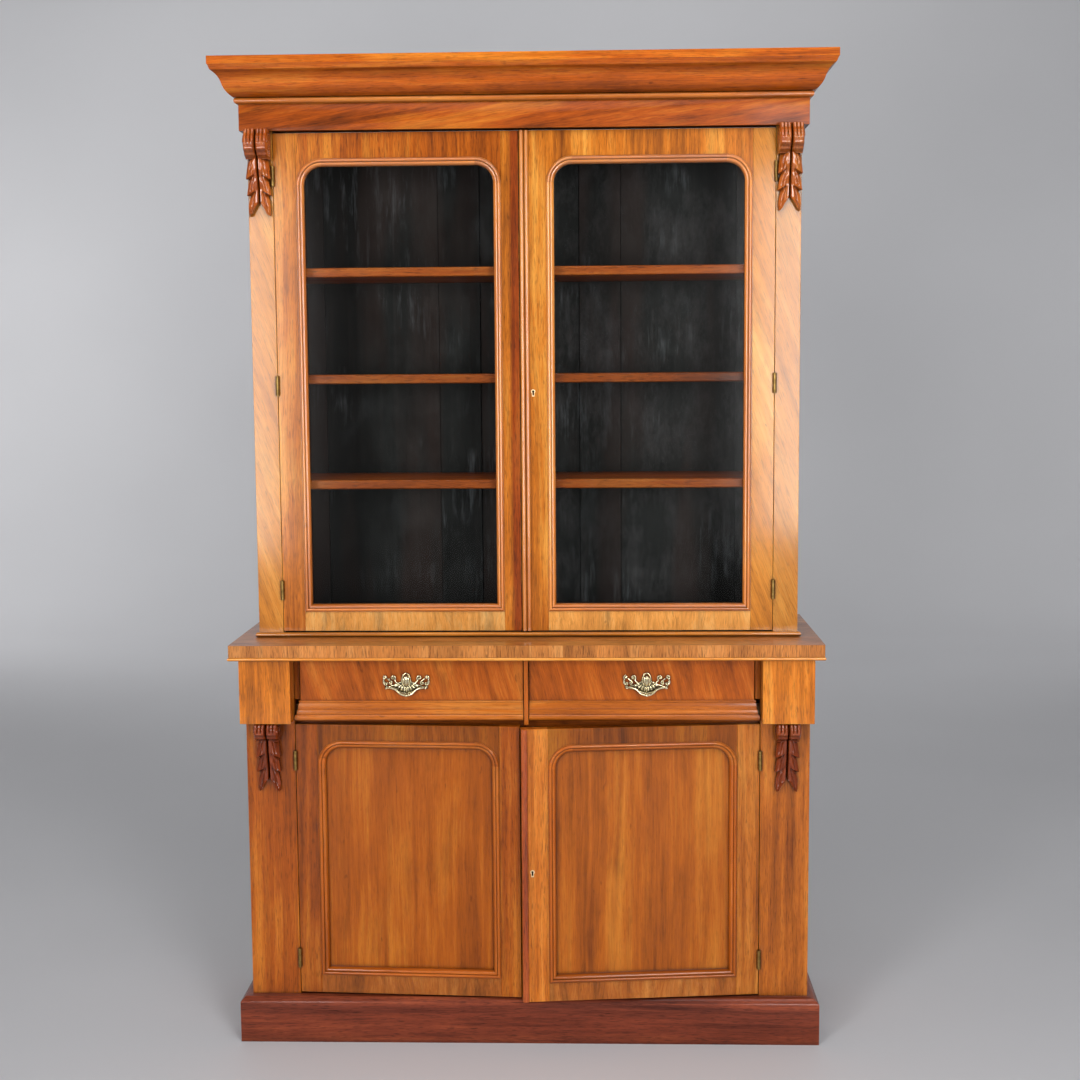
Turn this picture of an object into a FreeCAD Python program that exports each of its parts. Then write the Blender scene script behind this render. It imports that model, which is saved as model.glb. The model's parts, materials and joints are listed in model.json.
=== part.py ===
import FreeCAD, Part
import os
import Sketcher
from FreeCAD import Placement, Rotation, Vector

# A glazed bookcase on a cupboard base with two drawers, in millimetres.
# The front faces -Y, +Z is up, and the origin is on the floor, at mid width and mid depth of the whole.

doc = FreeCAD.newDocument("CupboardBookcase")
sheet = doc.addObject("Spreadsheet::Sheet", "Sizes")


class Size:
    """A length known both as a number and as the sheet expression that gives it."""

    def __init__(self, value, text):
        self.value = float(value)
        self.text = text

    def __float__(self):
        return self.value

    def __add__(self, other):
        other = as_size(other)
        return Size(self.value + other.value, f"({self.text} + {other.text})")

    def __radd__(self, other):
        return as_size(other) + self

    def __sub__(self, other):
        other = as_size(other)
        return Size(self.value - other.value, f"({self.text} - {other.text})")

    def __rsub__(self, other):
        return as_size(other) - self

    def __mul__(self, factor):
        return Size(self.value * factor, f"({self.text} * {factor})")

    def __rmul__(self, factor):
        return self * factor

    def __truediv__(self, divisor):
        divisor = as_size(divisor)
        return Size(self.value / divisor.value, f"({self.text} / {divisor.text})")

    def __neg__(self):
        return Size(-self.value, f"(-1 * {self.text})")


def as_size(number):
    if isinstance(number, Size):
        return number
    return Size(number, f"({float(number)})")


def square(size):
    return Size(size.value ** 2, f"({size.text} * {size.text})")


def from_sheet(size):
    return isinstance(size, Size) and "Sizes." in size.text


# Whole cupboard
overall_height = 2300
lower_width = 1322
lower_depth = 408
upper_width = 1276
upper_setback = 67
board = 20
front_thickness = 25
running_gap = 0.5
seat_gap = 0.3

# Plinth
plinth_height = 109
plinth_front_overhang = 29
plinth_side_overhang = 25
plinth_board = 24
plinth_chamfer = 11
plinth_bearer = 30

# Waist top, the board that carries the bookcase
waist_height = 962
waist_thickness = 28
waist_front_overhang = 62
waist_side_overhang = 25
waist_bead_height = 8
waist_bead_depth = 10
waist_bead_proud = 2
waist_corner_radius = 4

# Base cupboard
lower_pilaster = 115
base_back_thickness = 12
base_back_joint = 1
cupboard_shelf_rise = 301
cupboard_shelf_setback = 75
cupboard_batten = 25

# Drawers
drawer_opening_height = 158
block_projection = 50
block_side_overhang = 4
drawer_side_gap = 2
drawer_top_gap = 3
drawer_side_thickness = 12
drawer_bottom_thickness = 6
drawer_bottom_rise = 9
drawer_box_drop = 8
drawer_box_top_gap = 20
drawer_back_space = 14
drawer_moulding_height = 46
drawer_moulding_depth = 13
drawer_cheek_setback = 3
rail_thickness = 30
rail_depth = 50
runner_thickness = 18
runner_width = 120
guide_height = 25
divider_strip = 10
divider_strip_proud = 12
partition_thickness = 16

# Base doors
lower_door_rise = 4
lower_door_top_gap = 11
lower_hinge_stile = 52
lower_meeting_stile = 48
lower_top_rail = 38
lower_bottom_rail = 44
lower_corner_radius = 57
lower_hinge_inset = 86
lower_panel_thickness = 8
closing_bead = 14
closing_bead_proud = 3
left_door_ajar = 3
right_door_ajar = 6

# Bookcase doors
upper_pilaster = 58
upper_door_rise = 14
upper_door_top_gap = 4
upper_hinge_stile = 52
upper_meeting_stile = 40
upper_top_rail = 58
upper_bottom_rail = 46
upper_corner_radius = 60
upper_hinge_inset = 98
astragal = 22
astragal_base = 0.5
glass_thickness = 3
door_gap = 1
meeting_gap = 2

# Mouldings round the door panels and the glass
door_moulding_width = 18
door_moulding_proud = 5
door_moulding_depth = 12
glazing_bead = 8

# Inside of the bookcase
shelf_thickness = 22
shelf_setback = 45
shelf_nose = 4
lowest_shelf_rise = 350
shelf_spacing = 250
shelf_batten = 18
back_frame_thickness = 18
back_stile = 100
back_muntin = 104
back_rail = 36
back_centre_panel = 250
back_panel_thickness = 8
base_moulding_height = 11
base_moulding_depth = 8

# Cornice
frieze_height = 60
frieze_overhang = 15
frieze_thickness = 40
cornice_bead_height = 15
cornice_bead_proud = 9
cornice_projection = 58
cornice_seat = 12
cornice_ogee_height = 55
cornice_ogee_radius = 45
cornice_fillet = 11
cornice_fascia = 18
dust_board = 12
glue_block = 40

# Carved corbels
upper_corbel_width = 50
upper_leaf_width = 55
upper_corbel_height = 194
upper_corbel_depth = 62
upper_corbel_offset = 3
upper_scroll_radius = 30.5
lower_corbel_width = 54
lower_leaf_width = 60
lower_corbel_height = 170
lower_corbel_depth = 54
lower_corbel_offset = 3
lower_scroll_radius = 22
corbel_carving = 3
corbel_groove = 2
leaf_notch_height = 9

# Hinges
hinge_length = 46
hinge_knuckle_radius = 4.5
hinge_pin_radius = 2
hinge_clearance = 0.06
hinge_leaf_thickness = 1.6
hinge_leaf_depth = 20

# Locks and door bolts
upper_lock_rise = 564
lower_lock_rise = 313
lock_height = 60
lock_depth = 38
lock_thickness = 12
lock_bolt_height = 16
lock_bolt_thickness = 7
lock_bolt_length = 24
lock_bolt_clearance = 0.1
lock_throw = 8
upper_keyhole_inset = 29
lower_keyhole_inset = 24
keyhole_radius = 2.6
keyhole_drop = 9
escutcheon_rim = 2.6
escutcheon_depth = 3
bolt_radius = 3.5
bolt_length = 90
bolt_plate_length = 76
bolt_plate_width = 22
bolt_plate_thickness = 1.5
bolt_keeper_height = 9
bolt_throw = 10
bolt_clearance = 0.1

# Drawer handles
handle_rise = 77
handle_centre = 281
handle_span = 92
handle_plate_length = 111
handle_plate_height = 36
handle_plate_thickness = 1.6
handle_boss_radius = 11
handle_boss_height = 5
handle_boss_rim = 4
post_radius = 2.6
post_clearance = 0.2
post_head_radius = 5
post_reach = 9
nut_radius = 6
nut_thickness = 4
bail_radius = 2.4
bail_pivot_radius = 1.5
bail_pivot_clearance = 0.08
bail_drop = 18
bail_knot_radius = 4


def fill_sheet(values):
    """Writes every driving size into the sheet and returns them as sizes that know their cells."""
    sizes = {}
    for row, (alias, value) in enumerate(values.items(), 1):
        sheet.set(f"A{row}", alias)
        sheet.set(f"B{row}", str(value))
        sheet.setAlias(f"B{row}", alias)
        sizes[alias] = Size(value, f"Sizes.{alias}")
    return sizes


# From here on each name above stands for its cell in the sheet
plain_sizes = {name: value for name, value in globals().items() if type(value) in (int, float)}
globals().update(fill_sheet(plain_sizes))
doc.recompute()

# Counts, and shares of a piece's own length or width
leaf_notch_levels = (0.47, 0.62, 0.78)
leaf_notch_depth = 0.09
leaf_tip_level = 0.93
leaf_parting_level = 0.82
leaf_parting_width = 0.27
handle_boss_level = 0.52
handle_ring_share = 0.33
base_back_board_count = 6
shelf_count = 3
hinge_knuckle_count = 5

# Planes and edges that several pieces share
back_plane = (lower_depth + waist_front_overhang + waist_bead_proud) / 2
lower_front = back_plane - lower_depth
upper_front = lower_front + upper_setback
lower_frame = lower_front + front_thickness
upper_frame = upper_front + front_thickness
lower_inside = lower_frame + running_gap
upper_inside = upper_frame + running_gap
lower_half = lower_width / 2
upper_half = upper_width / 2
lower_opening = lower_half - lower_pilaster
upper_opening = upper_half - upper_pilaster
waist_half = lower_half + waist_side_overhang
waist_front = lower_front - waist_front_overhang
waist_underside = waist_height - waist_thickness
crown_height = cornice_ogee_height + cornice_fillet + cornice_fascia
crown_bottom = overall_height - crown_height
frieze_top = crown_bottom - cornice_bead_height
frieze_bottom = frieze_top - frieze_height
frieze_half = upper_half + frieze_overhang
frieze_front = upper_front - frieze_overhang
base_bottom_top = plinth_height + board
upper_bottom_top = waist_height + board
upper_top_underside = frieze_bottom - board
back_frame_front = back_plane - back_frame_thickness
base_back_front = back_plane - base_back_thickness
cupboard_shelf_height = base_bottom_top + cupboard_shelf_rise
lowest_shelf_height = upper_bottom_top + lowest_shelf_rise

# Drawer planes
drawer_front_bottom = waist_underside - drawer_opening_height
handle_height = drawer_front_bottom + handle_rise
runner_top = drawer_front_bottom + drawer_box_drop - seat_gap
rail_underside = runner_top - rail_thickness
drawer_outer = lower_opening - drawer_side_gap - drawer_moulding_depth
drawer_inner = divider_strip / 2 + drawer_side_gap
drawer_box_outer = drawer_outer - drawer_side_gap
drawer_box_inner = partition_thickness / 2 + running_gap * 2
drawer_back = base_back_front - drawer_back_space

# The bail's half span, and the radius that lets two equal bends cover its drop
bail_half = handle_span / 2 - post_head_radius - bail_radius - running_gap
bail_bend_radius = (square(bail_half) + square(bail_drop)) / bail_drop / 4

# Door edges
lower_door_bottom = plinth_height + lower_door_rise
lower_door_top = drawer_front_bottom - lower_door_top_gap
lower_hinge_edge = lower_opening - door_gap
lower_left_meeting = -closing_bead - meeting_gap / 2
lower_right_meeting = -closing_bead + meeting_gap / 2
upper_door_bottom = waist_height + upper_door_rise
upper_door_top = frieze_bottom - upper_door_top_gap
upper_lock_height = upper_door_bottom + upper_lock_rise
lower_lock_height = lower_door_bottom + lower_lock_rise
upper_hinge_edge = upper_opening - door_gap
upper_left_meeting = -astragal / 2 - meeting_gap / 2
upper_right_meeting = -astragal / 2 + meeting_gap / 2

# Hinge pivots, just clear of the front faces and in the middle of the gap at the hinge stile
pivot_offset = hinge_knuckle_radius + 0.2
lower_pivot_x = lower_opening - door_gap / 2
lower_pivot_y = lower_front - pivot_offset
upper_pivot_x = upper_opening - door_gap / 2
upper_pivot_y = upper_front - pivot_offset

no_turn = Rotation()
face_turn = Rotation(Vector(1, 0, 0), 90)


def turn_z(degrees):
    return Rotation(Vector(0, 0, 1), degrees)


def bind(piece, name, size):
    """Sets a property from a size, through the sheet where the size comes from it."""
    if from_sheet(size):
        piece.setExpression(name, size.text)
    else:
        setattr(piece, name, float(size))


def put(piece, x, y, z, turn=no_turn):
    """Moves a piece's own origin to x, y, z."""
    piece.Placement = Placement(Vector(float(x), float(y), float(z)), turn)
    for axis, size in (("x", x), ("y", y), ("z", z)):
        if from_sheet(size):
            piece.setExpression(f"Placement.Base.{axis}", size.text)
    return piece


def block(name, left, right, front, back, bottom, top):
    """A square-edged board between six planes."""
    piece = doc.addObject("Part::Box", name)
    bind(piece, "Length", right - left)
    bind(piece, "Width", back - front)
    bind(piece, "Height", top - bottom)
    return put(piece, left, front, bottom)


def block_pair(name, inner, outer, front, back, bottom, top):
    """The same board on the left and on the right."""
    return [
        block(name + "Left", -outer, -inner, front, back, bottom, top),
        block(name + "Right", inner, outer, front, back, bottom, top),
    ]


def rod(name, radius, length, x, y, z, turn=no_turn):
    """A round bar that starts at x, y, z and runs along its turned Z axis."""
    piece = doc.addObject("Part::Cylinder", name)
    bind(piece, "Radius", radius)
    bind(piece, "Height", length)
    return put(piece, x, y, z, turn)


def group(name, pieces):
    """Several solids that stay separate."""
    piece = doc.addObject("Part::Compound", name)
    piece.Links = pieces
    return piece


def joined(name, pieces):
    """Several shapes made one solid."""
    piece = doc.addObject("Part::MultiFuse", name)
    piece.Shapes = pieces
    return piece


def cut(name, base, tools):
    """A base with the tools taken away."""
    piece = doc.addObject("Part::Cut", name)
    piece.Base = base
    piece.Tool = tools[0] if len(tools) == 1 else group(name + "Tools", tools)
    return piece


def new_body(name):
    return doc.addObject("PartDesign::Body", name)


def new_sketch(body, role):
    """A sketch on one of the body's own origin planes."""
    sketch = body.newObject("Sketcher::SketchObject", body.Name + "Sketch")
    plane = next(p for p in body.Origin.OriginFeatures if p.Role == role)
    sketch.AttachmentSupport = [(plane, "")]
    sketch.MapMode = "FlatFace"
    return sketch


def fix(sketch, kind, geometry, point, size):
    """Holds one coordinate of a sketch point at a size."""
    constraint = Sketcher.Constraint(kind, -1, 1, geometry, point, float(size))
    index = sketch.addConstraint(constraint)
    if from_sheet(size):
        sketch.setExpression(f"Constraints[{index}]", size.text)


def arc_centre(start, end, radius, turn):
    """The centre of the arc of under a half turn between two points, to the left of the way for turn 1."""
    middle = (start + end) * 0.5
    chord = end - start
    rise = max(radius * radius - chord.Length ** 2 / 4, 0) ** 0.5
    side = Vector(-chord.y, chord.x, 0).normalize()
    return middle + side * rise * turn


def draw(sketch, corners):
    """Draws a closed outline through corners, each (x, y), or (x, y, radius, turn) where an arc leads to it.

    A radius of None is a half circle. Turn is 1 where the arc bends left and -1 where it bends right.
    """
    ends = []
    for number, corner in enumerate(corners):
        before = corners[number - 1]
        start = Vector(float(before[0]), float(before[1]), 0)
        end = Vector(float(corner[0]), float(corner[1]), 0)
        if len(corner) == 2:
            ends.append((sketch.addGeometry(Part.LineSegment(start, end), False), 1, 2))
            continue
        radius, turn = corner[2], corner[3]
        half_chord = (end - start).Length / 2
        size = half_chord if radius is None else float(radius)
        centre = arc_centre(start, end, size, turn)
        first, last = (start, end) if turn > 0 else (end, start)
        circle = Part.Circle(centre, Vector(0, 0, 1), size)
        arc = Part.ArcOfCircle(circle, circle.parameter(first), circle.parameter(last))
        points = (1, 2) if turn > 0 else (2, 1)
        ends.append((sketch.addGeometry(arc, False), *points))
    for number, corner in enumerate(corners):
        geometry, _, end_point = ends[number]
        following = ends[(number + 1) % len(ends)]
        joint = Sketcher.Constraint("Coincident", geometry, end_point, following[0], following[1])
        sketch.addConstraint(joint)
        fix(sketch, "DistanceX", geometry, end_point, corner[0])
        fix(sketch, "DistanceY", geometry, end_point, corner[1])
        if len(corner) == 2:
            continue
        before = corners[number - 1]
        if corner[2] is not None:
            index = sketch.addConstraint(Sketcher.Constraint("Radius", geometry, float(corner[2])))
            if from_sheet(corner[2]):
                sketch.setExpression(f"Constraints[{index}]", corner[2].text)
        elif abs(float(corner[1]) - float(before[1])) > abs(float(corner[0]) - float(before[0])):
            fix(sketch, "DistanceX", geometry, 3, (as_size(corner[0]) + before[0]) / 2)
        else:
            fix(sketch, "DistanceY", geometry, 3, (as_size(corner[1]) + before[1]) / 2)


def mirrored_profile(corners, edge):
    """A profile measured back from an edge instead of forward from zero."""
    flipped = []
    for corner in corners:
        flipped.append((edge - corner[0], corner[1], *(corner[2:3]), *(-turn for turn in corner[3:4])))
    return flipped


def pad(body, sketch, length, symmetric=False, reverse=False):
    feature = body.newObject("PartDesign::Pad", body.Name + "Pad")
    feature.Profile = sketch
    feature.Midplane = symmetric
    feature.Reversed = reverse
    bind(feature, "Length", length)
    return feature


def pocket_through(body, sketch):
    feature = body.newObject("PartDesign::Pocket", body.Name + "Pocket")
    feature.Profile = sketch
    feature.Type = "ThroughAll"
    feature.Midplane = True
    return feature


def stick(name, profile, length, start_slope, end_slope, inward, outward):
    """A moulding length along X, centred on its origin, with its profile in Y and Z.

    The length is measured along Y 0. A slope of 1 shortens the piece towards +Y at 45 degrees, -1 lengthens
    it and 0 leaves it square. The profile lies between -inward and outward in Y.
    """
    body = new_body(name)
    sketch = new_sketch(body, "YZ_Plane")
    draw(sketch, profile)
    spare = outward + inward + 5
    pad(body, sketch, length + spare * 2, symmetric=True)
    trim = new_sketch(body, "XY_Plane")
    near = -inward - 2
    far = outward + 2
    over = length / 2 + spare * 2
    for side, slope in ((-1, start_slope), (1, end_slope)):
        corners = [
            (side * (length / 2 - slope * near), near),
            (side * over, near),
            (side * over, far),
            (side * (length / 2 - slope * far), far),
        ]
        draw(trim, corners)
    pocket_through(body, trim)
    return body


def around_case(name, profile, half_width, front, back, bottom, inward, outward):
    """A moulding along the front and back along both sides, mitred at the front corners."""
    middle = (front + back) / 2
    side_length = back - front
    front_run = stick(name + "Front", profile, half_width * 2, -1, -1, inward, outward)
    right_run = stick(name + "Right", profile, side_length, 0, -1, inward, outward)
    left_run = stick(name + "Left", profile, side_length, -1, 0, inward, outward)
    put(front_run, 0, front, bottom, turn_z(180))
    put(right_run, half_width, middle, bottom, turn_z(-90))
    put(left_run, -half_width, middle, bottom, turn_z(90))
    return [front_run, right_run, left_run]


def around_panel(name, profile, left, right, bottom, top, face, radius, width):
    """A moulding round a panel: mitred at the foot, with quarter rings at the two upper corners."""
    upright = top - radius - bottom
    upright_middle = (top - radius + bottom) / 2
    centre = (left + right) / 2
    foot = stick(name + "Foot", profile, right - left, 1, 1, 0, width)
    left_run = stick(name + "Left", profile, upright, 0, 1, 0, width)
    right_run = stick(name + "Right", profile, upright, 1, 0, 0, width)
    head = stick(name + "Head", profile, right - left - radius * 2, 0, 0, 0, width)
    put(foot, centre, face, bottom, face_turn)
    put(left_run, left, face, upright_middle, face_turn * turn_z(-90))
    put(right_run, right, face, upright_middle, face_turn * turn_z(90))
    put(head, centre, face, top, face_turn * turn_z(180))
    left_corner = quarter_ring(name + "CornerLeft", mirrored_profile(profile, radius))
    right_corner = quarter_ring(name + "CornerRight", mirrored_profile(profile, radius))
    put(left_corner, left + radius, face, top - radius, face_turn * turn_z(90))
    put(right_corner, right - radius, face, top - radius, face_turn)
    return [foot, left_run, right_run, head, left_corner, right_corner]


def quarter_ring(name, profile):
    """A profile turned a quarter round Z, from +X to +Y."""
    body = new_body(name)
    sketch = new_sketch(body, "XZ_Plane")
    draw(sketch, profile)
    ring = body.newObject("PartDesign::Revolution", name + "Ring")
    ring.Profile = sketch
    ring.ReferenceAxis = (sketch, ["V_Axis"])
    ring.Angle = 90
    return body


# Plinth

def plinth():
    height = plinth_height
    profile = [
        (as_size(0), as_size(0)),
        (plinth_board, 0),
        (plinth_board, height - plinth_chamfer),
        (plinth_board - plinth_chamfer, height),
        (0, height),
    ]
    inner_half = lower_half + plinth_side_overhang - plinth_board
    inner_front = lower_front - plinth_front_overhang + plinth_board
    boards = around_case("PlinthBoard", profile, inner_half, inner_front, back_plane, 0, 0, plinth_board)
    rear_inner = back_plane - plinth_board
    boards.append(block("PlinthBack", -inner_half, inner_half, rear_inner, back_plane, 0, height))
    low = height - plinth_bearer
    bearer_front = inner_front + plinth_bearer
    bearer_back = rear_inner - plinth_bearer
    bearer_side = inner_half - plinth_bearer
    boards.append(block("PlinthBearerFront", -inner_half, inner_half, inner_front, bearer_front, low, height))
    boards.append(block("PlinthBearerBack", -inner_half, inner_half, bearer_back, rear_inner, low, height))
    boards += block_pair("PlinthBearer", bearer_side, inner_half, bearer_front, bearer_back, low, height)
    return group("plinth", boards)


# Base cupboard

def base_sides():
    inner = lower_half - board
    boards = block_pair(
        "BaseSide", inner, lower_half, lower_frame, back_plane, plinth_height, waist_underside
    )
    return group("base_sides", boards)


def bolt_hole(name, x, y, z, up):
    """A square socket for a door bolt, from a board's face at z upwards or downwards."""
    depth = bolt_throw + 3
    half = bolt_radius + running_gap
    low, high = (z - 1, z + depth) if up else (z - depth, z + 1)
    return block(name, x - half, x + half, y - half, y + half, low, high)


def base_bottom():
    inner = lower_half - board
    floor = block(
        "BaseBottomBoard", -inner, inner, lower_inside, base_back_front, plinth_height, base_bottom_top
    )
    hole = bolt_hole("BaseBottomSocket", lower_bolt_x, lower_bolt_y, base_bottom_top, up=False)
    return cut("base_bottom", floor, [hole])


def base_back_boards():
    inner = lower_half - board
    count = base_back_board_count
    width = (inner * 2 - base_back_joint * (count - 1)) / count
    boards = []
    for number in range(count):
        left = -inner + (width + base_back_joint) * number
        boards.append(
            block(
                f"BaseBackBoard{number + 1}",
                left,
                left + width,
                base_back_front,
                back_plane,
                plinth_height,
                waist_underside,
            )
        )
    return group("base_back_boards", boards)


def pilasters(name, inner, outer, front, bottom, top, pivot_x, hinge_centres):
    """Two upright front boards, let in for the hinge leaves along their inner edges."""
    uprights = []
    for side in (-1, 1):
        left, right = (-outer, -inner) if side < 0 else (inner, outer)
        upright = block(f"{name}Board{'Left' if side < 0 else 'Right'}", left, right, front,
                        front + front_thickness, bottom, top)
        recesses = []
        for number, centre in enumerate(hinge_centres):
            near = pivot_x - 1
            far = pivot_x + hinge_clearance + hinge_leaf_thickness
            left, right = (-far, -near) if side < 0 else (near, far)
            recesses.append(
                block(
                    f"{name}Recess{number + 1}{'Left' if side < 0 else 'Right'}",
                    left,
                    right,
                    front - 1,
                    front + hinge_leaf_depth + seat_gap,
                    centre - hinge_length / 2 - seat_gap,
                    centre + hinge_length / 2 + seat_gap,
                )
            )
        uprights.append(cut(f"{name}{'Left' if side < 0 else 'Right'}", upright, recesses))
    return uprights


def base_pilasters():
    boards = pilasters(
        "BasePilaster",
        lower_opening,
        lower_half,
        lower_front,
        plinth_height,
        waist_underside,
        lower_pivot_x,
        lower_hinge_centres,
    )
    return group("base_pilasters", boards + drawer_cheeks())


def drawer_cheeks():
    """A strip on each pilaster that closes the opening beside a drawer, above its moulding's return."""
    return block_pair(
        "DrawerCheek",
        drawer_outer + drawer_side_gap,
        lower_opening,
        lower_front + drawer_cheek_setback,
        lower_frame,
        drawer_front_bottom + drawer_moulding_height + drawer_side_gap,
        waist_underside,
    )


def drawer_blocks():
    boards = block_pair(
        "DrawerBlock",
        lower_opening,
        lower_half + block_side_overhang,
        lower_front - block_projection,
        lower_front,
        drawer_front_bottom,
        waist_underside,
    )
    return group("drawer_blocks", boards)


def drawer_rail_and_runners():
    """The rail under the drawers, with runners and side guides behind it."""
    inner = lower_half - board
    rail_back = lower_inside + rail_depth
    rail = block("DrawerRailBoard", -inner, inner, lower_inside, rail_back, rail_underside, runner_top)
    hole = bolt_hole("DrawerRailSocket", lower_bolt_x, lower_bolt_y, rail_underside, up=True)
    low = runner_top - runner_thickness
    pieces = [cut("DrawerRail", rail, [hole])]
    pieces += block_pair("Runner", inner - runner_width, inner, rail_back, base_back_front, low, runner_top)
    pieces.append(
        block("RunnerMiddle", -board * 2, board * 2, rail_back, base_back_front, low, runner_top)
    )
    guide_inner = drawer_box_outer + running_gap
    pieces += block_pair(
        "Guide", guide_inner, inner, lower_inside, base_back_front, runner_top, runner_top + guide_height
    )
    return group("drawer_rail_and_runners", pieces)


def drawer_divider():
    strip_half = divider_strip / 2
    strip_front = lower_front - divider_strip_proud
    strip_bottom = lower_door_top + 1
    strip = block(
        "DividerStrip", -strip_half, strip_half, strip_front, lower_inside, strip_bottom, waist_underside
    )
    half = partition_thickness / 2
    partition = block(
        "DividerPartition", -half, half, lower_inside, base_back_front, runner_top, waist_underside
    )
    return group("drawer_divider", [strip, partition])


def cupboard_shelf():
    half = lower_half - board - seat_gap
    front = lower_inside + cupboard_shelf_setback
    return block(
        "cupboard_shelf",
        -half,
        half,
        front,
        base_back_front - seat_gap,
        cupboard_shelf_height,
        cupboard_shelf_height + board,
    )


def shelf_battens():
    """Battens under the ends of every shelf, in the cupboard and in the bookcase."""
    base_inner = lower_half - board
    low = cupboard_shelf_height - cupboard_batten
    front = lower_inside + cupboard_shelf_setback
    battens = block_pair(
        "CupboardBatten",
        base_inner - cupboard_batten,
        base_inner,
        front,
        base_back_front,
        low,
        cupboard_shelf_height,
    )
    case_inner = upper_half - board
    for number in range(shelf_count):
        top = lowest_shelf_height + shelf_spacing * number - shelf_thickness
        battens += block_pair(
            f"ShelfBatten{number + 1}",
            case_inner - shelf_batten,
            case_inner,
            upper_front + shelf_setback + shelf_batten,
            back_frame_front,
            top - shelf_batten,
            top,
        )
    return group("shelf_battens", battens)


# Waist

def waist_top():
    plank = block(
        "WaistBoard", -waist_half, waist_half, waist_front, back_plane, waist_underside, waist_height
    )
    rounded = doc.addObject("Part::Fillet", "WaistRounded")
    rounded.Base = plank
    doc.recompute()
    edges = []
    for number, edge in enumerate(plank.Shape.Edges, 1):
        box = edge.BoundBox
        upright = box.ZLength > 1
        at_front = box.YMax < float(waist_front) + 1
        if upright and at_front:
            edges.append((number, float(waist_corner_radius), float(waist_corner_radius)))
    rounded.Edges = edges
    radius = waist_bead_height / 2
    base = waist_bead_depth - radius
    profile = [(0, 0), (base, 0), (base, waist_bead_height, None, 1), (0, waist_bead_height)]
    inset = waist_bead_depth - waist_bead_proud
    beads = around_case(
        "WaistBead",
        profile,
        waist_half - inset,
        waist_front + inset,
        back_plane,
        waist_underside - waist_bead_height,
        0,
        waist_bead_depth,
    )
    return group("waist_top", [rounded] + beads)


# Bookcase

def upper_sides():
    boards = block_pair(
        "UpperSide", upper_half - board, upper_half, upper_frame, back_plane, waist_height, frieze_bottom
    )
    return group("upper_sides", boards)


def upper_bottom():
    inner = upper_half - board
    floor = block(
        "UpperBottomBoard", -inner, inner, upper_inside, back_frame_front, waist_height, upper_bottom_top
    )
    hole = bolt_hole("UpperBottomSocket", upper_bolt_x, upper_bolt_y, upper_bottom_top, up=False)
    radius = base_moulding_height / 2
    base = base_moulding_depth - radius
    profile = [(0, 0), (base, 0), (base, base_moulding_height, None, 1), (0, base_moulding_height)]
    runs = around_case(
        "BaseMoulding",
        profile,
        upper_half,
        upper_front,
        back_plane,
        waist_height,
        0,
        base_moulding_depth,
    )
    return group("upper_bottom", [cut("UpperBottomFloor", floor, [hole])] + runs)


def upper_top():
    inner = upper_half - board
    ceiling = block(
        "UpperTopBoard", -inner, inner, upper_inside, back_frame_front, upper_top_underside, frieze_bottom
    )
    hole = bolt_hole("UpperTopSocket", upper_bolt_x, upper_bolt_y, upper_top_underside, up=True)
    return cut("upper_top", ceiling, [hole])


def upper_back_frame():
    """Stiles, muntins and rails of the panelled back."""
    inner = upper_half - board
    pieces = block_pair(
        "BackStile", inner - back_stile, inner, back_frame_front, back_plane, waist_height, frieze_bottom
    )
    muntin_inner = back_centre_panel / 2
    low = waist_height + back_rail
    high = frieze_bottom - back_rail
    pieces += block_pair(
        "BackMuntin", muntin_inner, muntin_inner + back_muntin, back_frame_front, back_plane, low, high
    )
    rail_end = inner - back_stile
    pieces.append(
        block("BackRailLow", -rail_end, rail_end, back_frame_front, back_plane, waist_height, low)
    )
    pieces.append(
        block("BackRailHigh", -rail_end, rail_end, back_frame_front, back_plane, high, frieze_bottom)
    )
    return group("upper_back_frame", pieces)


def upper_back_panels():
    front = back_frame_front + (back_frame_thickness - back_panel_thickness) / 2
    back = front + back_panel_thickness
    low = waist_height + back_rail
    high = frieze_bottom - back_rail
    half = back_centre_panel / 2
    side_inner = half + back_muntin
    side_outer = upper_half - board - back_stile
    panels = [block("BackPanelMiddle", -half, half, front, back, low, high)]
    panels += block_pair("BackPanel", side_inner, side_outer, front, back, low, high)
    return group("upper_back_panels", panels)


def upper_pilasters():
    boards = pilasters(
        "UpperPilaster",
        upper_opening,
        upper_half,
        upper_front,
        waist_height,
        frieze_bottom,
        upper_pivot_x,
        upper_hinge_centres,
    )
    return group("upper_pilasters", boards)


def bookshelves():
    """Three alike shelves with eased front edges, one above the other."""
    body = new_body("bookshelves")
    front = upper_front + shelf_setback
    back = back_frame_front - seat_gap
    top = lowest_shelf_height
    low = top - shelf_thickness
    sketch = new_sketch(body, "YZ_Plane")
    draw(
        sketch,
        [
            (back, low),
            (back, top),
            (front + shelf_nose, top),
            (front, top - shelf_nose, shelf_nose, 1),
            (front, low + shelf_nose),
            (front + shelf_nose, low, shelf_nose, 1),
        ],
    )
    width = (upper_half - board - seat_gap) * 2
    first = pad(body, sketch, width, symmetric=True)
    doc.recompute()
    rows = body.newObject("PartDesign::LinearPattern", "ShelfRows")
    rows.Originals = [first]
    up = next(axis for axis in body.Origin.OriginFeatures if axis.Role == "Z_Axis")
    rows.Direction = (up, [""])
    bind(rows, "Length", shelf_spacing * (shelf_count - 1))
    rows.Occurrences = shelf_count
    body.Tip = rows
    return body


# Cornice

def cornice_frieze():
    profile = [(0, 0), (frieze_thickness, 0), (frieze_thickness, frieze_height), (0, frieze_height)]
    runs = around_case(
        "Frieze",
        profile,
        frieze_half - frieze_thickness,
        frieze_front + frieze_thickness,
        back_plane,
        frieze_bottom,
        0,
        frieze_thickness,
    )
    return group("cornice_frieze", runs)


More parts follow.
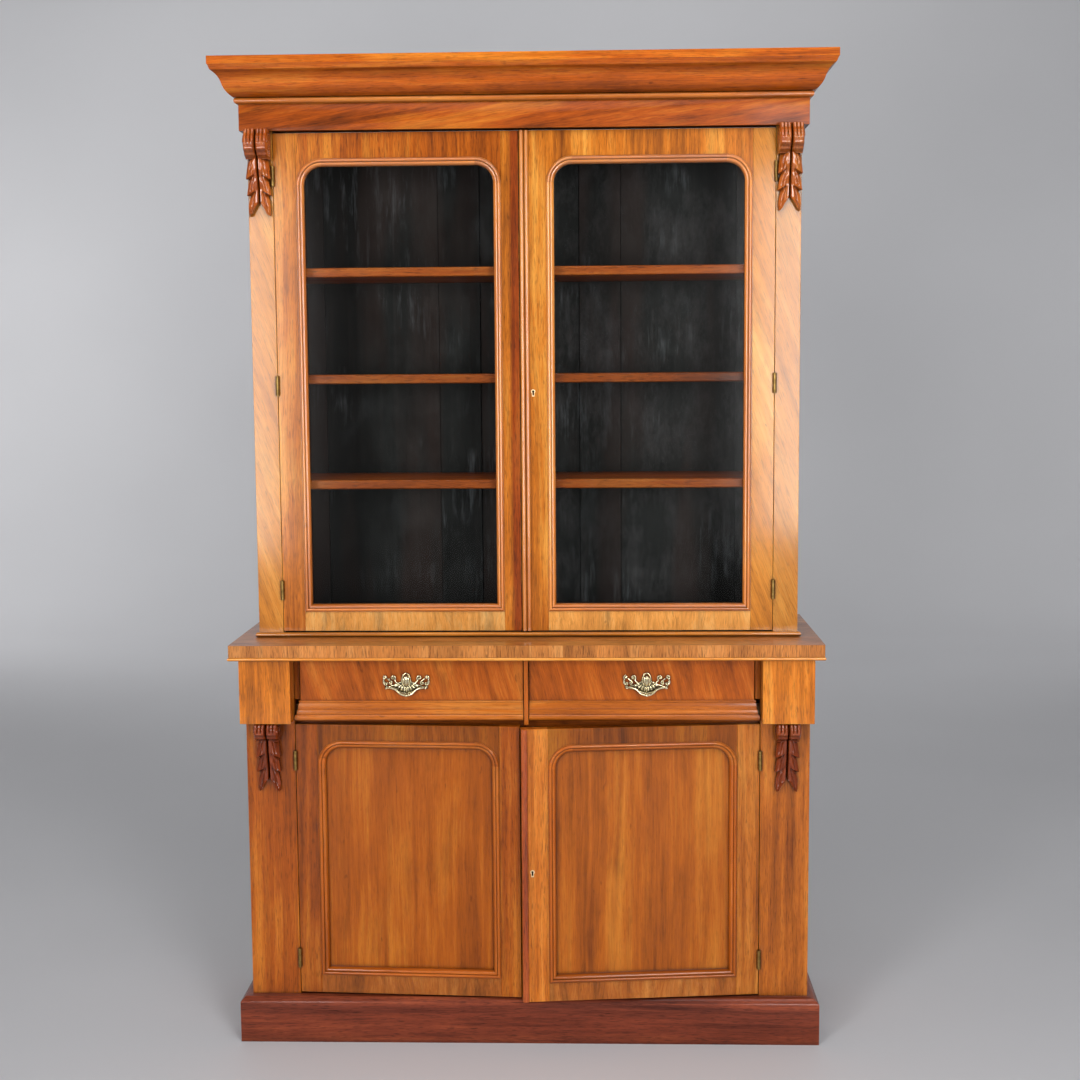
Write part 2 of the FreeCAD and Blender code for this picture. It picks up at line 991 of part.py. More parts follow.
def cornice_moulding():
    """A half-round bead with the hollow-topped crown moulding above it."""
    seat = -cornice_seat
    nose = cornice_bead_proud - cornice_bead_height / 2
    bead = [(seat, 0), (nose, 0), (nose, cornice_bead_height, None, 1), (seat, cornice_bead_height)]
    pieces = around_case(
        "CorniceBead",
        bead,
        frieze_half,
        frieze_front,
        back_plane,
        frieze_top,
        cornice_seat,
        cornice_bead_proud,
    )
    foot = cornice_bead_proud + 1
    head = cornice_projection - cornice_fillet / 2
    middle = (foot + head) / 2
    fillet_top = cornice_ogee_height + cornice_fillet
    crown = [
        (seat, 0),
        (foot, 0),
        (middle, cornice_ogee_height / 2, cornice_ogee_radius, 1),
        (head, cornice_ogee_height, cornice_ogee_radius, -1),
        (cornice_projection - 1, fillet_top),
        (cornice_projection, fillet_top),
        (cornice_projection, crown_height),
        (seat, crown_height),
    ]
    pieces += around_case(
        "CorniceCrown",
        crown,
        frieze_half,
        frieze_front,
        back_plane,
        crown_bottom,
        cornice_seat,
        cornice_projection,
    )
    return group("cornice_moulding", pieces)


def cornice_dust_board():
    """The thin board over the frieze, with glue blocks behind the crown."""
    half = frieze_half - cornice_seat
    front = frieze_front + cornice_seat
    top = frieze_top + dust_board
    pieces = [block("DustBoard", -half, half, front, back_plane, frieze_top, top)]
    block_top = overall_height - glue_block
    for number, share in enumerate((-0.96, -0.32, 0.32, 0.96)):
        middle = half * share
        pieces.append(
            block(
                f"GlueBlockFront{number + 1}",
                middle - glue_block / 2,
                middle + glue_block / 2,
                front,
                front + glue_block,
                top,
                block_top,
            )
        )
    side_middle = (front + back_plane) / 2 + glue_block
    pieces += block_pair(
        "GlueBlockSide",
        half - glue_block,
        half,
        side_middle - glue_block / 2,
        side_middle + glue_block / 2,
        top,
        block_top,
    )
    return group("cornice_dust_board", pieces)


# Carved corbels

def scroll_profile(depth, radius, inset):
    """Side view of the scroll, inset all round; the front is towards -Y and the top is at Z 0."""
    reach = depth - radius
    return [
        (0, -inset),
        (0, -radius * 2 + inset),
        (-reach, -radius * 2 + inset),
        (-reach, -inset, None, -1),
    ]


def leaf_profile(depth, radius, height, inset):
    """Side view of the leaf below the scroll, curling out at its tip."""
    start = -radius * 1.8
    root = depth * -0.5 + inset
    waist = depth * -0.3 + inset
    tip = depth * -0.34 + inset
    return [
        (0, start),
        (0, height * -0.93),
        (depth * -0.12, height * -0.995 + inset),
        (tip, height * -0.99 + inset),
        (waist, height * -0.8, height * 0.35, -1),
        (root, start, height * 1.1, -1),
    ]


def reed_width(width):
    """The width of one of the three reeds on each half of a scroll."""
    half = (width - corbel_groove) / 2
    return (half - corbel_groove) / 3


def corbel(name, width, leaf_width, height, depth, radius):
    """A reeded scroll over two leaves; its back is at Y 0 and its top at Z 0."""
    body = new_body(name)
    sketch = new_sketch(body, "YZ_Plane")
    draw(sketch, scroll_profile(depth, radius, corbel_carving))
    pad(body, sketch, width, symmetric=True)
    reed = reed_width(width)
    pitch = reed + corbel_groove / 2
    for side in (-1, 1):
        for number in range(3):
            middle = (corbel_groove / 2 + reed / 2 + pitch * number) * side
            strip = new_sketch(body, "YZ_Plane")
            strip.setExpression("AttachmentOffset.Base.z", middle.text)
            draw(strip, scroll_profile(depth, radius, 0))
            pad(body, strip, reed, symmetric=True)
    leaf = new_sketch(body, "YZ_Plane")
    draw(leaf, leaf_profile(depth, radius, height, 0))
    pad(body, leaf, leaf_width, symmetric=True)
    outline = new_sketch(body, "XZ_Plane")
    for side in (-1, 1):
        for notch in side_notches(side, leaf_width, height):
            draw(outline, notch)
    draw(outline, tip_notch(leaf_width, height))
    pocket_through(body, outline)
    return body


def side_notches(side, leaf_width, height):
    """The cuts between the lobes on one side of a corbel's leaves, and the one beside their tip."""
    edge = leaf_width / 2
    outer = edge * side + side
    inner = edge * side - leaf_width * leaf_notch_depth * side
    foot = height * -1 - 1
    notches = [
        [(outer, height * -level - leaf_notch_height), (inner, height * -level), (outer, height * -level)]
        for level in leaf_notch_levels
    ]
    notches.append([(outer, height * -leaf_tip_level), (inner, foot), (outer, foot)])
    return notches


def tip_notch(leaf_width, height):
    """The cut between the tips of a corbel's two leaves."""
    foot = height * -1 - 1
    return [
        (0, height * -leaf_parting_level),
        (leaf_width * -leaf_parting_width, foot),
        (leaf_width * leaf_parting_width, foot),
    ]


def corbel_pair(name, width, leaf_width, height, depth, radius, centre, face, top):
    pieces = []
    for side, word in ((-1, "Left"), (1, "Right")):
        piece = corbel(f"{name}{word}", width, leaf_width, height, depth, radius)
        pieces.append(put(piece, centre * side, face, top))
    return pieces


def upper_corbels():
    pieces = corbel_pair(
        "UpperCorbel",
        upper_corbel_width,
        upper_leaf_width,
        upper_corbel_height,
        upper_corbel_depth,
        upper_scroll_radius,
        (upper_opening + upper_half) / 2 + upper_corbel_offset,
        upper_front,
        frieze_bottom,
    )
    return group("upper_corbels", pieces)


def base_corbels():
    pieces = corbel_pair(
        "BaseCorbel",
        lower_corbel_width,
        lower_leaf_width,
        lower_corbel_height,
        lower_corbel_depth,
        lower_scroll_radius,
        (lower_opening + lower_half) / 2 + lower_corbel_offset,
        lower_front,
        drawer_front_bottom,
    )
    return group("base_corbels", pieces)


# Hinges

def hinge_leaf(name, side, pivot_x, pivot_y, face, centre, owner, bore):
    """One hinge leaf: side -1 lies left of the pivot, owner 0 has the outer knuckles and 1 the inner ones."""
    low = centre - hinge_length / 2
    pitch = hinge_length / hinge_knuckle_count
    near = hinge_clearance
    far = hinge_clearance + hinge_leaf_thickness
    left, right = (pivot_x - far, pivot_x - near) if side < 0 else (pivot_x + near, pivot_x + far)
    parts = [block(name + "Plate", left, right, face, face + hinge_leaf_depth, low, low + hinge_length)]
    for number in range(owner, hinge_knuckle_count, 2):
        bottom = low + pitch * number + hinge_clearance
        height = pitch - hinge_clearance * 2
        parts.append(rod(f"{name}Knuckle{number}", hinge_knuckle_radius, height, pivot_x, pivot_y, bottom))
        parts.append(
            block(f"{name}Neck{number}", left, right, pivot_y, face + 1, bottom, bottom + height)
        )
    solid = joined(name + "Solid", parts)
    hole = rod(name + "Bore", bore, hinge_length + 2, pivot_x, pivot_y, low - 1)
    return cut(name, solid, [hole])


def hinge_places():
    """Every hinge of the cupboard: name, side, pivot and front face, height of its middle."""
    places = []
    for word, side in (("Left", -1), ("Right", 1)):
        for number, centre in enumerate(upper_hinge_centres):
            places.append((f"Upper{word}Hinge{number + 1}", side, upper_pivot_x * side, upper_pivot_y,
                           upper_front, centre))
        for number, centre in enumerate(lower_hinge_centres):
            places.append((f"Lower{word}Hinge{number + 1}", side, lower_pivot_x * side, lower_pivot_y,
                           lower_front, centre))
    return places


def case_hinge_leaves():
    """The leaves let into the pilasters, and the pins that they hold."""
    pieces = []
    for name, side, pivot_x, pivot_y, face, centre in hinge_places():
        pieces.append(
            hinge_leaf(name + "CaseLeaf", side, pivot_x, pivot_y, face, centre, 0, hinge_pin_radius)
        )
        low = centre - hinge_length / 2
        pieces.append(rod(name + "Pin", hinge_pin_radius, hinge_length, pivot_x, pivot_y, low))
    return group("case_hinge_leaves", pieces)


def door_hinge_leaves(door):
    pieces = []
    prefix = door.title + "Hinge"
    bore = hinge_pin_radius + hinge_clearance
    for name, side, pivot_x, pivot_y, face, centre in hinge_places():
        if name.startswith(prefix):
            leaf = hinge_leaf(name + "DoorLeaf", -side, pivot_x, pivot_y, face, centre, 1, bore)
            pieces.append(leaf)
    return door.node("hinge_leaves", pieces)


# Doors

class Door:
    """The edges and planes of one door in its closed place, and the turn that leaves it ajar."""

    def __init__(self, name, title, side, hinge_edge, meeting_edge, bottom, top, face):
        self.name = name
        self.title = title
        self.side = side
        self.face = face
        self.back = face + front_thickness
        self.bottom = bottom
        self.top = top
        self.left = hinge_edge if side < 0 else meeting_edge
        self.right = meeting_edge if side < 0 else hinge_edge
        self.meeting = meeting_edge
        self.swing = Placement()

    def open_by(self, degrees, pivot_x, pivot_y):
        angle = float(degrees) * self.side
        self.swing = Placement(Vector(0, 0, 0), turn_z(angle), Vector(float(pivot_x), float(pivot_y), 0))

    def frame_opening(self, hinge_stile, meeting_stile, bottom_rail, top_rail):
        left_stile = hinge_stile if self.side < 0 else meeting_stile
        right_stile = meeting_stile if self.side < 0 else hinge_stile
        self.inner_left = self.left + left_stile
        self.inner_right = self.right - right_stile
        self.inner_bottom = self.bottom + bottom_rail
        self.inner_top = self.top - top_rail

    def node(self, word, pieces):
        """Names a sub-part of the door and swings it with the door."""
        piece = group(f"{self.name}_{word}", pieces)
        piece.Placement = self.swing
        return piece


def evenly_between(low, high, count):
    step = (high - low) / (count - 1)
    return [low + step * number for number in range(count)]


upper_hinge_centres = evenly_between(
    upper_door_bottom + upper_hinge_inset, upper_door_top - upper_hinge_inset, 3
)
lower_hinge_centres = evenly_between(
    lower_door_bottom + lower_hinge_inset, lower_door_top - lower_hinge_inset, 2
)

upper_left = Door(
    "upper_left_door",
    "UpperLeft",
    -1,
    -upper_hinge_edge,
    upper_left_meeting,
    upper_door_bottom,
    upper_door_top,
    upper_front,
)
upper_right = Door(
    "upper_right_door",
    "UpperRight",
    1,
    upper_hinge_edge,
    upper_right_meeting,
    upper_door_bottom,
    upper_door_top,
    upper_front,
)
lower_left = Door(
    "lower_left_door",
    "LowerLeft",
    -1,
    -lower_hinge_edge,
    lower_left_meeting,
    lower_door_bottom,
    lower_door_top,
    lower_front,
)
lower_right = Door(
    "lower_right_door",
    "LowerRight",
    1,
    lower_hinge_edge,
    lower_right_meeting,
    lower_door_bottom,
    lower_door_top,
    lower_front,
)
upper_left.frame_opening(upper_hinge_stile, upper_meeting_stile, upper_bottom_rail, upper_top_rail)
upper_right.frame_opening(
    upper_hinge_stile, upper_meeting_stile + astragal, upper_bottom_rail, upper_top_rail
)
lower_left.frame_opening(lower_hinge_stile, lower_meeting_stile, lower_bottom_rail, lower_top_rail)
lower_right.frame_opening(
    lower_hinge_stile, lower_meeting_stile + closing_bead, lower_bottom_rail, lower_top_rail
)
lower_left.open_by(left_door_ajar, -lower_pivot_x, lower_pivot_y)
lower_right.open_by(right_door_ajar, lower_pivot_x, lower_pivot_y)

upper_bolt_x = upper_left_meeting - upper_meeting_stile / 2
upper_bolt_y = upper_frame + bolt_plate_thickness + running_gap + bolt_radius
lower_bolt_x = lower_left_meeting - lower_meeting_stile / 2
lower_bolt_y = lower_frame + bolt_plate_thickness + running_gap + bolt_radius


def top_rail(door, radius):
    """The rail over the panel, with the rounded corners of the opening cut in its lower edge."""
    body = new_body(door.title + "TopRail")
    sketch = new_sketch(body, "XZ_Plane")
    draw(
        sketch,
        [
            (door.inner_left, door.top),
            (door.inner_left, door.inner_top - radius),
            (door.inner_left + radius, door.inner_top, radius, -1),
            (door.inner_right - radius, door.inner_top),
            (door.inner_right, door.inner_top - radius, radius, -1),
            (door.inner_right, door.top),
        ],
    )
    pad(body, sketch, front_thickness)
    return put(body, 0, door.back, 0)


def hinge_recesses(door, pivot_x, centres):
    """Cuts for the hinge leaves in the hinge stile's edge."""
    leaf = hinge_clearance + hinge_leaf_thickness
    left, right = (-pivot_x - 1, -pivot_x + leaf) if door.side < 0 else (pivot_x - leaf, pivot_x + 1)
    recesses = []
    for number, centre in enumerate(centres):
        recesses.append(
            block(
                f"{door.title}LeafRecess{number + 1}",
                left,
                right,
                door.face - 1,
                door.face + hinge_leaf_depth + seat_gap,
                centre - hinge_length / 2 - seat_gap,
                centre + hinge_length / 2 + seat_gap,
            )
        )
    return recesses


def lock_middle(door):
    """The mid plane of the lock in the door's thickness."""
    return door.face + front_thickness / 2


def lock_mortise(door, height):
    """The cut in the meeting stile that takes the lock, and the keyhole in front of it."""
    middle = lock_middle(door)
    half = lock_thickness / 2
    return block(
        door.title + "LockMortise",
        door.meeting - 1,
        door.meeting + lock_depth,
        middle - half,
        middle + half,
        height - lock_height / 2,
        height + lock_height / 2,
    )


def strike_mortise(door, height):
    """The cut in the other door's edge that the lock bolt enters."""
    middle = lock_middle(door)
    half = lock_bolt_thickness / 2 + running_gap
    tall = lock_bolt_height / 2 + running_gap
    return block(
        door.title + "Strike",
        door.meeting - lock_throw - 2,
        door.meeting + 1,
        middle - half,
        middle + half,
        height - tall,
        height + tall,
    )


def keyhole_shape(name, radius, drop, depth, x, y, z):
    """A keyhole-shaped plug from y back to the given depth: a disc with a slot below it."""
    disc = rod(name + "Disc", radius, depth, x, y + depth, z, face_turn)
    half = radius * 0.6
    slot = block(name + "Slot", x - half, x + half, y, y + depth, z - drop, z)
    return joined(name, [disc, slot])


def door_frame(door, radius, pivot_x, centres, extra_cuts):
    """Two stiles and two rails; extra cuts go into the meeting stile."""
    bottom, top, face, back = door.bottom, door.top, door.face, door.back
    left = block(door.title + "StileLeftBoard", door.left, door.inner_left, face, back, bottom, top)
    right = block(door.title + "StileRightBoard", door.inner_right, door.right, face, back, bottom, top)
    hinge, meeting = (left, right) if door.side < 0 else (right, left)
    foot = block(
        door.title + "BottomRail", door.inner_left, door.inner_right, face, back, bottom, door.inner_bottom
    )
    pieces = [
        cut(door.title + "HingeStile", hinge, hinge_recesses(door, pivot_x, centres)),
        cut(door.title + "MeetingStile", meeting, extra_cuts),
        foot,
        top_rail(door, radius),
    ]
    return door.node("frame", pieces)


def door_moulding_profile():
    """Two beads side by side, the outer one prouder; Y runs inward from the frame and Z to the front."""
    width = door_moulding_width
    radius = door_moulding_proud - 1
    quirk = radius * 2 + 1
    back = -door_moulding_depth
    return [
        (0, back),
        (width, back),
        (width, -door_moulding_proud),
        (quirk + 1, 2, width * 0.45, 1),
        (quirk, 1),
        (1, 1, None, 1),
        (0, 1),
    ]


def back_bead_profile(panel_thickness):
    """The square bead behind the glass or panel."""
    near = -door_moulding_depth - panel_thickness
    far = -front_thickness + running_gap
    return [(0, far), (glazing_bead, far), (glazing_bead, near), (0, near)]


def door_moulding(door, radius, panel_thickness):
    """The moulding round the panel, and the beads that hold the panel from behind."""
    edges = (door.inner_left, door.inner_right, door.inner_bottom, door.inner_top)
    front = around_panel(
        door.title + "Moulding", door_moulding_profile(), *edges, door.face, radius, door_moulding_width
    )
    back = around_panel(
        door.title + "Bead", back_bead_profile(panel_thickness), *edges, door.face, radius, glazing_bead
    )
    return door.node("moulding", front + back)


def pane(name, door, radius, thickness):
    """A sheet with rounded upper corners that lies against the back of the moulding."""
    body = new_body(name)
    left = door.inner_left + seat_gap
    right = door.inner_right - seat_gap
    low = door.inner_bottom + seat_gap
    high = door.inner_top - seat_gap
    curve = radius - seat_gap
    sketch = new_sketch(body, "XZ_Plane")
    draw(
        sketch,
        [
            (left, low),
            (right, low),
            (right, high - curve),
            (right - curve, high, curve, 1),
            (left + curve, high),
            (left, high - curve, curve, 1),
        ],
    )
    pad(body, sketch, thickness)
    return put(body, 0, door.face + door_moulding_depth + thickness, 0)


def astragal_strip():
    """The double-reeded strip on the bookcase's right door, along its meeting edge."""
    door = upper_right
    left = door.meeting
    body = new_body("AstragalStrip")
    sketch = new_sketch(body, "XY_Plane")
    draw(
        sketch,
        [
            (left + astragal, door.face),
            (left, door.face),
            (left, door.face - astragal_base),
            (left + astragal / 2, door.face - astragal_base, None, 1),
            (left + astragal, door.face - astragal_base, None, 1),
        ],
    )
    pad(body, sketch, door.top - door.bottom)
    put(body, 0, 0, door.bottom)
    return door.node("astragal", [body])


def closing_bead_strip():
    """The flat bead on the base's right door, along its meeting edge."""
    door = lower_right
    left = door.meeting
    ease = closing_bead_proud / 2
    body = new_body("ClosingBeadStrip")
    sketch = new_sketch(body, "XY_Plane")
    draw(
        sketch,
        [
            (left, door.face),
            (left, door.face - ease),
            (left + ease, door.face - closing_bead_proud),
            (left + closing_bead - ease, door.face - closing_bead_proud),
            (left + closing_bead, door.face - ease),
            (left + closing_bead, door.face),
        ],
    )
    pad(body, sketch, door.top - door.bottom)
    put(body, 0, 0, door.bottom)
    return door.node("closing_bead", [body])


# Locks and bolts

def lock(door, height, keyhole_inset):
    """A mortise lock's case, open towards the meeting edge, and the keyhole's brass lining."""
    middle = lock_middle(door)
    half = lock_thickness / 2
    tall = lock_height / 2
    left = door.meeting
    case = block(
        door.title + "LockBox",
        left,
        left + lock_depth - seat_gap,
        middle - half,
        middle + half,
        height - tall,
        height + tall,
    )
    slot_half = lock_bolt_thickness / 2 + lock_bolt_clearance
    slot_tall = lock_bolt_height / 2 + lock_bolt_clearance
    slot = block(
        door.title + "LockSlot",
        left - 1,
        left + lock_bolt_length + 2,
        middle - slot_half,
        middle + slot_half,
        height - slot_tall,
        height + slot_tall,
    )
    name = door.title + "Escutcheon"
    x = left + keyhole_inset
    plug = keyhole_shape(
        name + "Outer", keyhole_radius + escutcheon_rim, keyhole_drop + escutcheon_rim, escutcheon_depth,
        x, door.face - seat_gap, height
    )
    hole = keyhole_shape(
        name + "Inner", keyhole_radius, keyhole_drop, escutcheon_depth + 2, x, door.face - 1, height
    )
    return door.node("lock", [cut(door.title + "LockCase", case, [slot]), cut(name, plug, [hole])])


def keyhole_cuts(door, height, keyhole_inset):
    """The seat of the escutcheon in the stile, and the keyhole from it to the lock."""
    name = door.title + "KeyholeCut"
    x = door.meeting + keyhole_inset
    seat = keyhole_shape(
        name + "Seat", keyhole_radius + escutcheon_rim, keyhole_drop + escutcheon_rim,
        escutcheon_depth + 1, x, door.face - 1 - seat_gap, height
    )
    depth = front_thickness / 2 - lock_thickness / 2 + 1
    through = keyhole_shape(name + "Through", keyhole_radius, keyhole_drop, depth, x, door.face - 1, height)
    return [seat, through]


def lock_bolt(door, height):
    middle = lock_middle(door)
    half = lock_bolt_thickness / 2
    tall = lock_bolt_height / 2
    left = door.meeting + seat_gap
    bar = block(
        door.title + "LockBoltBar",
        left,
        left + lock_bolt_length,
        middle - half,
        middle + half,
        height - tall,
        height + tall,
    )
    return door.node("lock_bolt", [bar])


def bolt_plate(name, x, back, top, mark):
    """A bolt's plate with its two keepers, below top when mark is 1 and above it when mark is -1."""
    near = top - mark * 6
    far = near - mark * bolt_plate_length
    low, high = (far, near) if mark > 0 else (near, far)
    half = bolt_plate_width / 2
    face = back + bolt_plate_thickness
    outer = face + running_gap + bolt_radius * 2 + 2
    keeper_half = bolt_radius + 2
    parts = [
        block(name + "Plate", x - half, x + half, back, face, low, high),
        block(name + "KeeperLow", x - keeper_half, x + keeper_half, back, outer, low,
              low + bolt_keeper_height),
        block(name + "KeeperHigh", x - keeper_half, x + keeper_half, back, outer,
              high - bolt_keeper_height, high),
    ]
    centre = face + running_gap + bolt_radius
    hole = rod(name + "Bore", bolt_radius + bolt_clearance, bolt_plate_length + 2, x, centre, low - 1)
    return cut(name, joined(name + "Solid", parts), [hole])


def bolt_rod(name, x, back, top, mark):
    """The sliding rod of a door bolt, drawn back, with its knob."""
    near = top - mark * 1
    far = near - mark * bolt_length
    low = far if mark > 0 else near
    centre = back + bolt_plate_thickness + running_gap + bolt_radius
    bar = rod(name + "Bar", bolt_radius, bolt_length, x, centre, low)
    knob_height = low + bolt_length / 2
    knob = rod(name + "Knob", bolt_radius * 0.8, bolt_radius + 9, x, centre + bolt_radius + 9, knob_height,
               face_turn)
    return joined(name, [bar, knob])


def door_bolts(door, x, ceiling, floor):
    """The plates and rods of a door's top and bottom bolts."""
    plates = [
        bolt_plate(door.title + "TopBoltPlate", x, door.back, ceiling, 1),
        bolt_plate(door.title + "BottomBoltPlate", x, door.back, floor, -1),
    ]
    return [
        door.node("bolt_plates", plates),
        door.node("top_bolt", [bolt_rod(door.title + "TopBoltRod", x, door.back, ceiling, 1)]),
        door.node("bottom_bolt", [bolt_rod(door.title + "BottomBoltRod", x, door.back, floor, -1)]),
    ]


# Drawers

def drawer_moulding_profile():
    """From the foot: a bold bead, two bands that step back, and a fine bead; Y runs to the front."""
    depth = drawer_moulding_depth
    height = drawer_moulding_height
    bead_top = height * 0.3
    band_top = height * 0.56
    fine_bottom = height - 4
    return [
        (0, 0),
        (depth - 3, 0),
        (depth - 3, bead_top, height * 0.205, 1),
        (depth - 5, bead_top),
        (depth - 7, band_top, height * 0.45, 1),
        (depth - 8, band_top),
        (depth - 10.5, fine_bottom, height * 0.7, 1),
        (2, fine_bottom),
        (2, height, None, 1),
        (0, height),
    ]


def drawer_front(name, side):
    """The front board and its planted moulding, returned round the end by the block."""
    inner, outer = drawer_inner, drawer_outer
    left, right = (-outer, -inner) if side < 0 else (inner, outer)
    top = waist_underside - drawer_top_gap
    plank = block(name + "FrontBoard", left, right, lower_front, lower_frame, drawer_front_bottom, top)
    holes = []
    for number, offset in enumerate((-1, 1)):
        holes.append(
            rod(
                f"{name}PostHole{number + 1}",
                post_radius + post_clearance,
                front_thickness + 2,
                handle_centre * side + handle_span / 2 * offset,
                lower_frame + 1,
                handle_height,
                face_turn,
            )
        )
    profile = drawer_moulding_profile()
    start_slope, end_slope = (0, -1) if side < 0 else (-1, 0)
    depth = drawer_moulding_depth
    run = stick(name + "Moulding", profile, outer - inner, start_slope, end_slope, 0, depth)
    put(run, (left + right) / 2, lower_front, drawer_front_bottom, turn_z(180))
    middle = (lower_front + lower_frame) / 2
    if side < 0:
        end = stick(name + "Return", profile, front_thickness, -1, 0, 0, depth)
        put(end, -outer, middle, drawer_front_bottom, turn_z(90))
    else:
        end = stick(name + "Return", profile, front_thickness, 0, -1, 0, depth)
        put(end, outer, middle, drawer_front_bottom, turn_z(-90))
    word = "left" if side < 0 else "right"
    return group(f"{word}_drawer_front", [cut(name + "Front", plank, holes), run, end])


def drawer_box(name, side):
    """Sides, back and bottom of a drawer, behind its front."""
    inner, outer = drawer_box_inner, drawer_box_outer
    low = drawer_front_bottom + drawer_box_drop
    high = waist_underside - drawer_box_top_gap
    wall = drawer_side_thickness
    left, right = (-outer, -inner) if side < 0 else (inner, outer)
    bottom_low = low + drawer_bottom_rise
    bottom_high = bottom_low + drawer_bottom_thickness
    pieces = [
        block(name + "SideLeft", left, left + wall, lower_frame, drawer_back, low, high),
        block(name + "SideRight", right - wall, right, lower_frame, drawer_back, low, high),
        block(name + "Back", left + wall, right - wall, drawer_back - wall, drawer_back, bottom_high, high),
        block(name + "Bottom", left + wall, right - wall, lower_frame, drawer_back, bottom_low, bottom_high),
    ]
    word = "left" if side < 0 else "right"
    return group(f"{word}_drawer_box", pieces)


def handle_plate_body(name):
    """The pierced plate, its face towards -Y, its back at Y 0 and its origin between the posts."""
    half = handle_plate_length / 2
    height = handle_plate_height
    ring = height * handle_ring_share
    hole = ring / 2
    ring_x = half - ring
    ring_z = height * 0.5
    post_x = handle_span / 2
    foot = post_radius * 3
    body = new_body(name)

    def plate(corners):
        sketch = new_sketch(body, "XZ_Plane")
        draw(sketch, corners)
        pad(body, sketch, handle_plate_thickness)

    def disc(x, z, radius):
        sketch = new_sketch(body, "XZ_Plane")
        draw(sketch, [(x - radius, z), (x + radius, z, None, 1), (x - radius, z, None, 1)][1:])
        pad(body, sketch, handle_plate_thickness)

    strip_low = height * -0.08
    strip_high = height * 0.18
    plate([(-post_x, strip_low), (post_x, strip_low), (post_x, strip_high), (-post_x, strip_high)])
    for side in (-1, 1):
        disc(post_x * side, 0, foot)
        disc(ring_x * side, ring_z, ring)
        plate(fan_corners(side, post_x, height))
    disc(as_size(0), height * handle_boss_level, handle_boss_radius + handle_boss_rim)
    holes = new_sketch(body, "XZ_Plane")
    for side in (-1, 1):
        middle = ring_x * side
        draw(holes, [(middle + hole, ring_z, None, 1), (middle - hole, ring_z, None, 1)])
        slot = post_x * side * 0.52
        draw(holes, [(slot + 3, height * 0.42, None, 1), (slot - 3, height * 0.42, None, 1)])
    pocket_through(body, holes)
    return body


def fan_corners(side, post_x, height):
    """The leaf between the boss and an end ring."""
    root = post_x * side * 0.13
    return [
        (root, height * 0.08),
        (post_x * side, height * 0.08),
        (post_x * side * 0.75, height * 0.75),
        (post_x * side * 0.5, height * 0.9),
        (root, height * 0.8),
    ]


def handle_nut(name, x, start):
    """The nut on a handle's post, against the inside of the drawer front."""
    blank = rod(name + "Blank", nut_radius, nut_thickness, x, start, handle_height, face_turn)
    bore = rod(name + "Bore", post_radius, nut_thickness + 2, x, start + 1, handle_height, face_turn)
    return cut(name, blank, [bore])


def handle_plate(name, side):
    """The plate, its domed boss and two posts with their nuts inside the drawer."""
    x = handle_centre * side
    plate = put(handle_plate_body(name + "Blank"), x, lower_front, handle_height)
    dome = doc.addObject("Part::Sphere", name + "Dome")
    rise = handle_boss_height
    bind(dome, "Radius", handle_boss_radius)
    dome_y = lower_front + handle_boss_radius - rise - handle_plate_thickness
    put(dome, x, dome_y, handle_height + handle_plate_height * handle_boss_level)
    cap_limit = block(
        name + "DomeLimit",
        x - handle_boss_radius - 1,
        x + handle_boss_radius + 1,
        lower_front - rise - handle_plate_thickness - 1,
        lower_front - handle_plate_thickness / 2,
        handle_height,
        handle_height + handle_plate_height,
    )
    cap = doc.addObject("Part::Common", name + "DomeCap")
    cap.Base = dome
    cap.Tool = cap_limit
    parts = [plate, cap]
    nuts = []
    start = lower_frame + nut_thickness
    length = front_thickness + nut_thickness + post_reach
    for number, offset in enumerate((-1, 1), 1):
        post_x = x + handle_span / 2 * offset
        parts.append(rod(f"{name}Post{number}", post_radius, length, post_x, start, handle_height, face_turn))
        head = doc.addObject("Part::Sphere", f"{name}Head{number}")
        bind(head, "Radius", post_head_radius)
        put(head, post_x, lower_front - post_reach, handle_height, turn_z(-90))
        parts.append(head)
        nuts.append(handle_nut(f"{name}Nut{number}", post_x, start))
    solid = joined(name + "Solid", parts)
    bore = rod(
        name + "PivotBore",
        bail_pivot_radius + bail_pivot_clearance,
        handle_span + post_head_radius * 2 + 2,
        x - handle_span / 2 - post_head_radius - 1,
        lower_front - post_reach,
        handle_height,
        Rotation(Vector(0, 1, 0), 90),
    )
    word = "left" if side < 0 else "right"
    return group(f"{word}_drawer_handle_plate", [cut(name + "Pierced", solid, [bore])] + nuts)


def bail_bend(name, x, y, z, turn):
    """One bend of the bail's bar, from the foot of its circle round to the right."""
    bend = doc.addObject("Part::Torus", name)
    bind(bend, "Radius1", bail_bend_radius)
    bind(bend, "Radius2", bail_radius)
    bend.setExpression("Angle3", f"2 * atan({bail_drop.text} / {bail_half.text})")
    return put(bend, x, y, z, turn * face_turn * turn_z(-90))


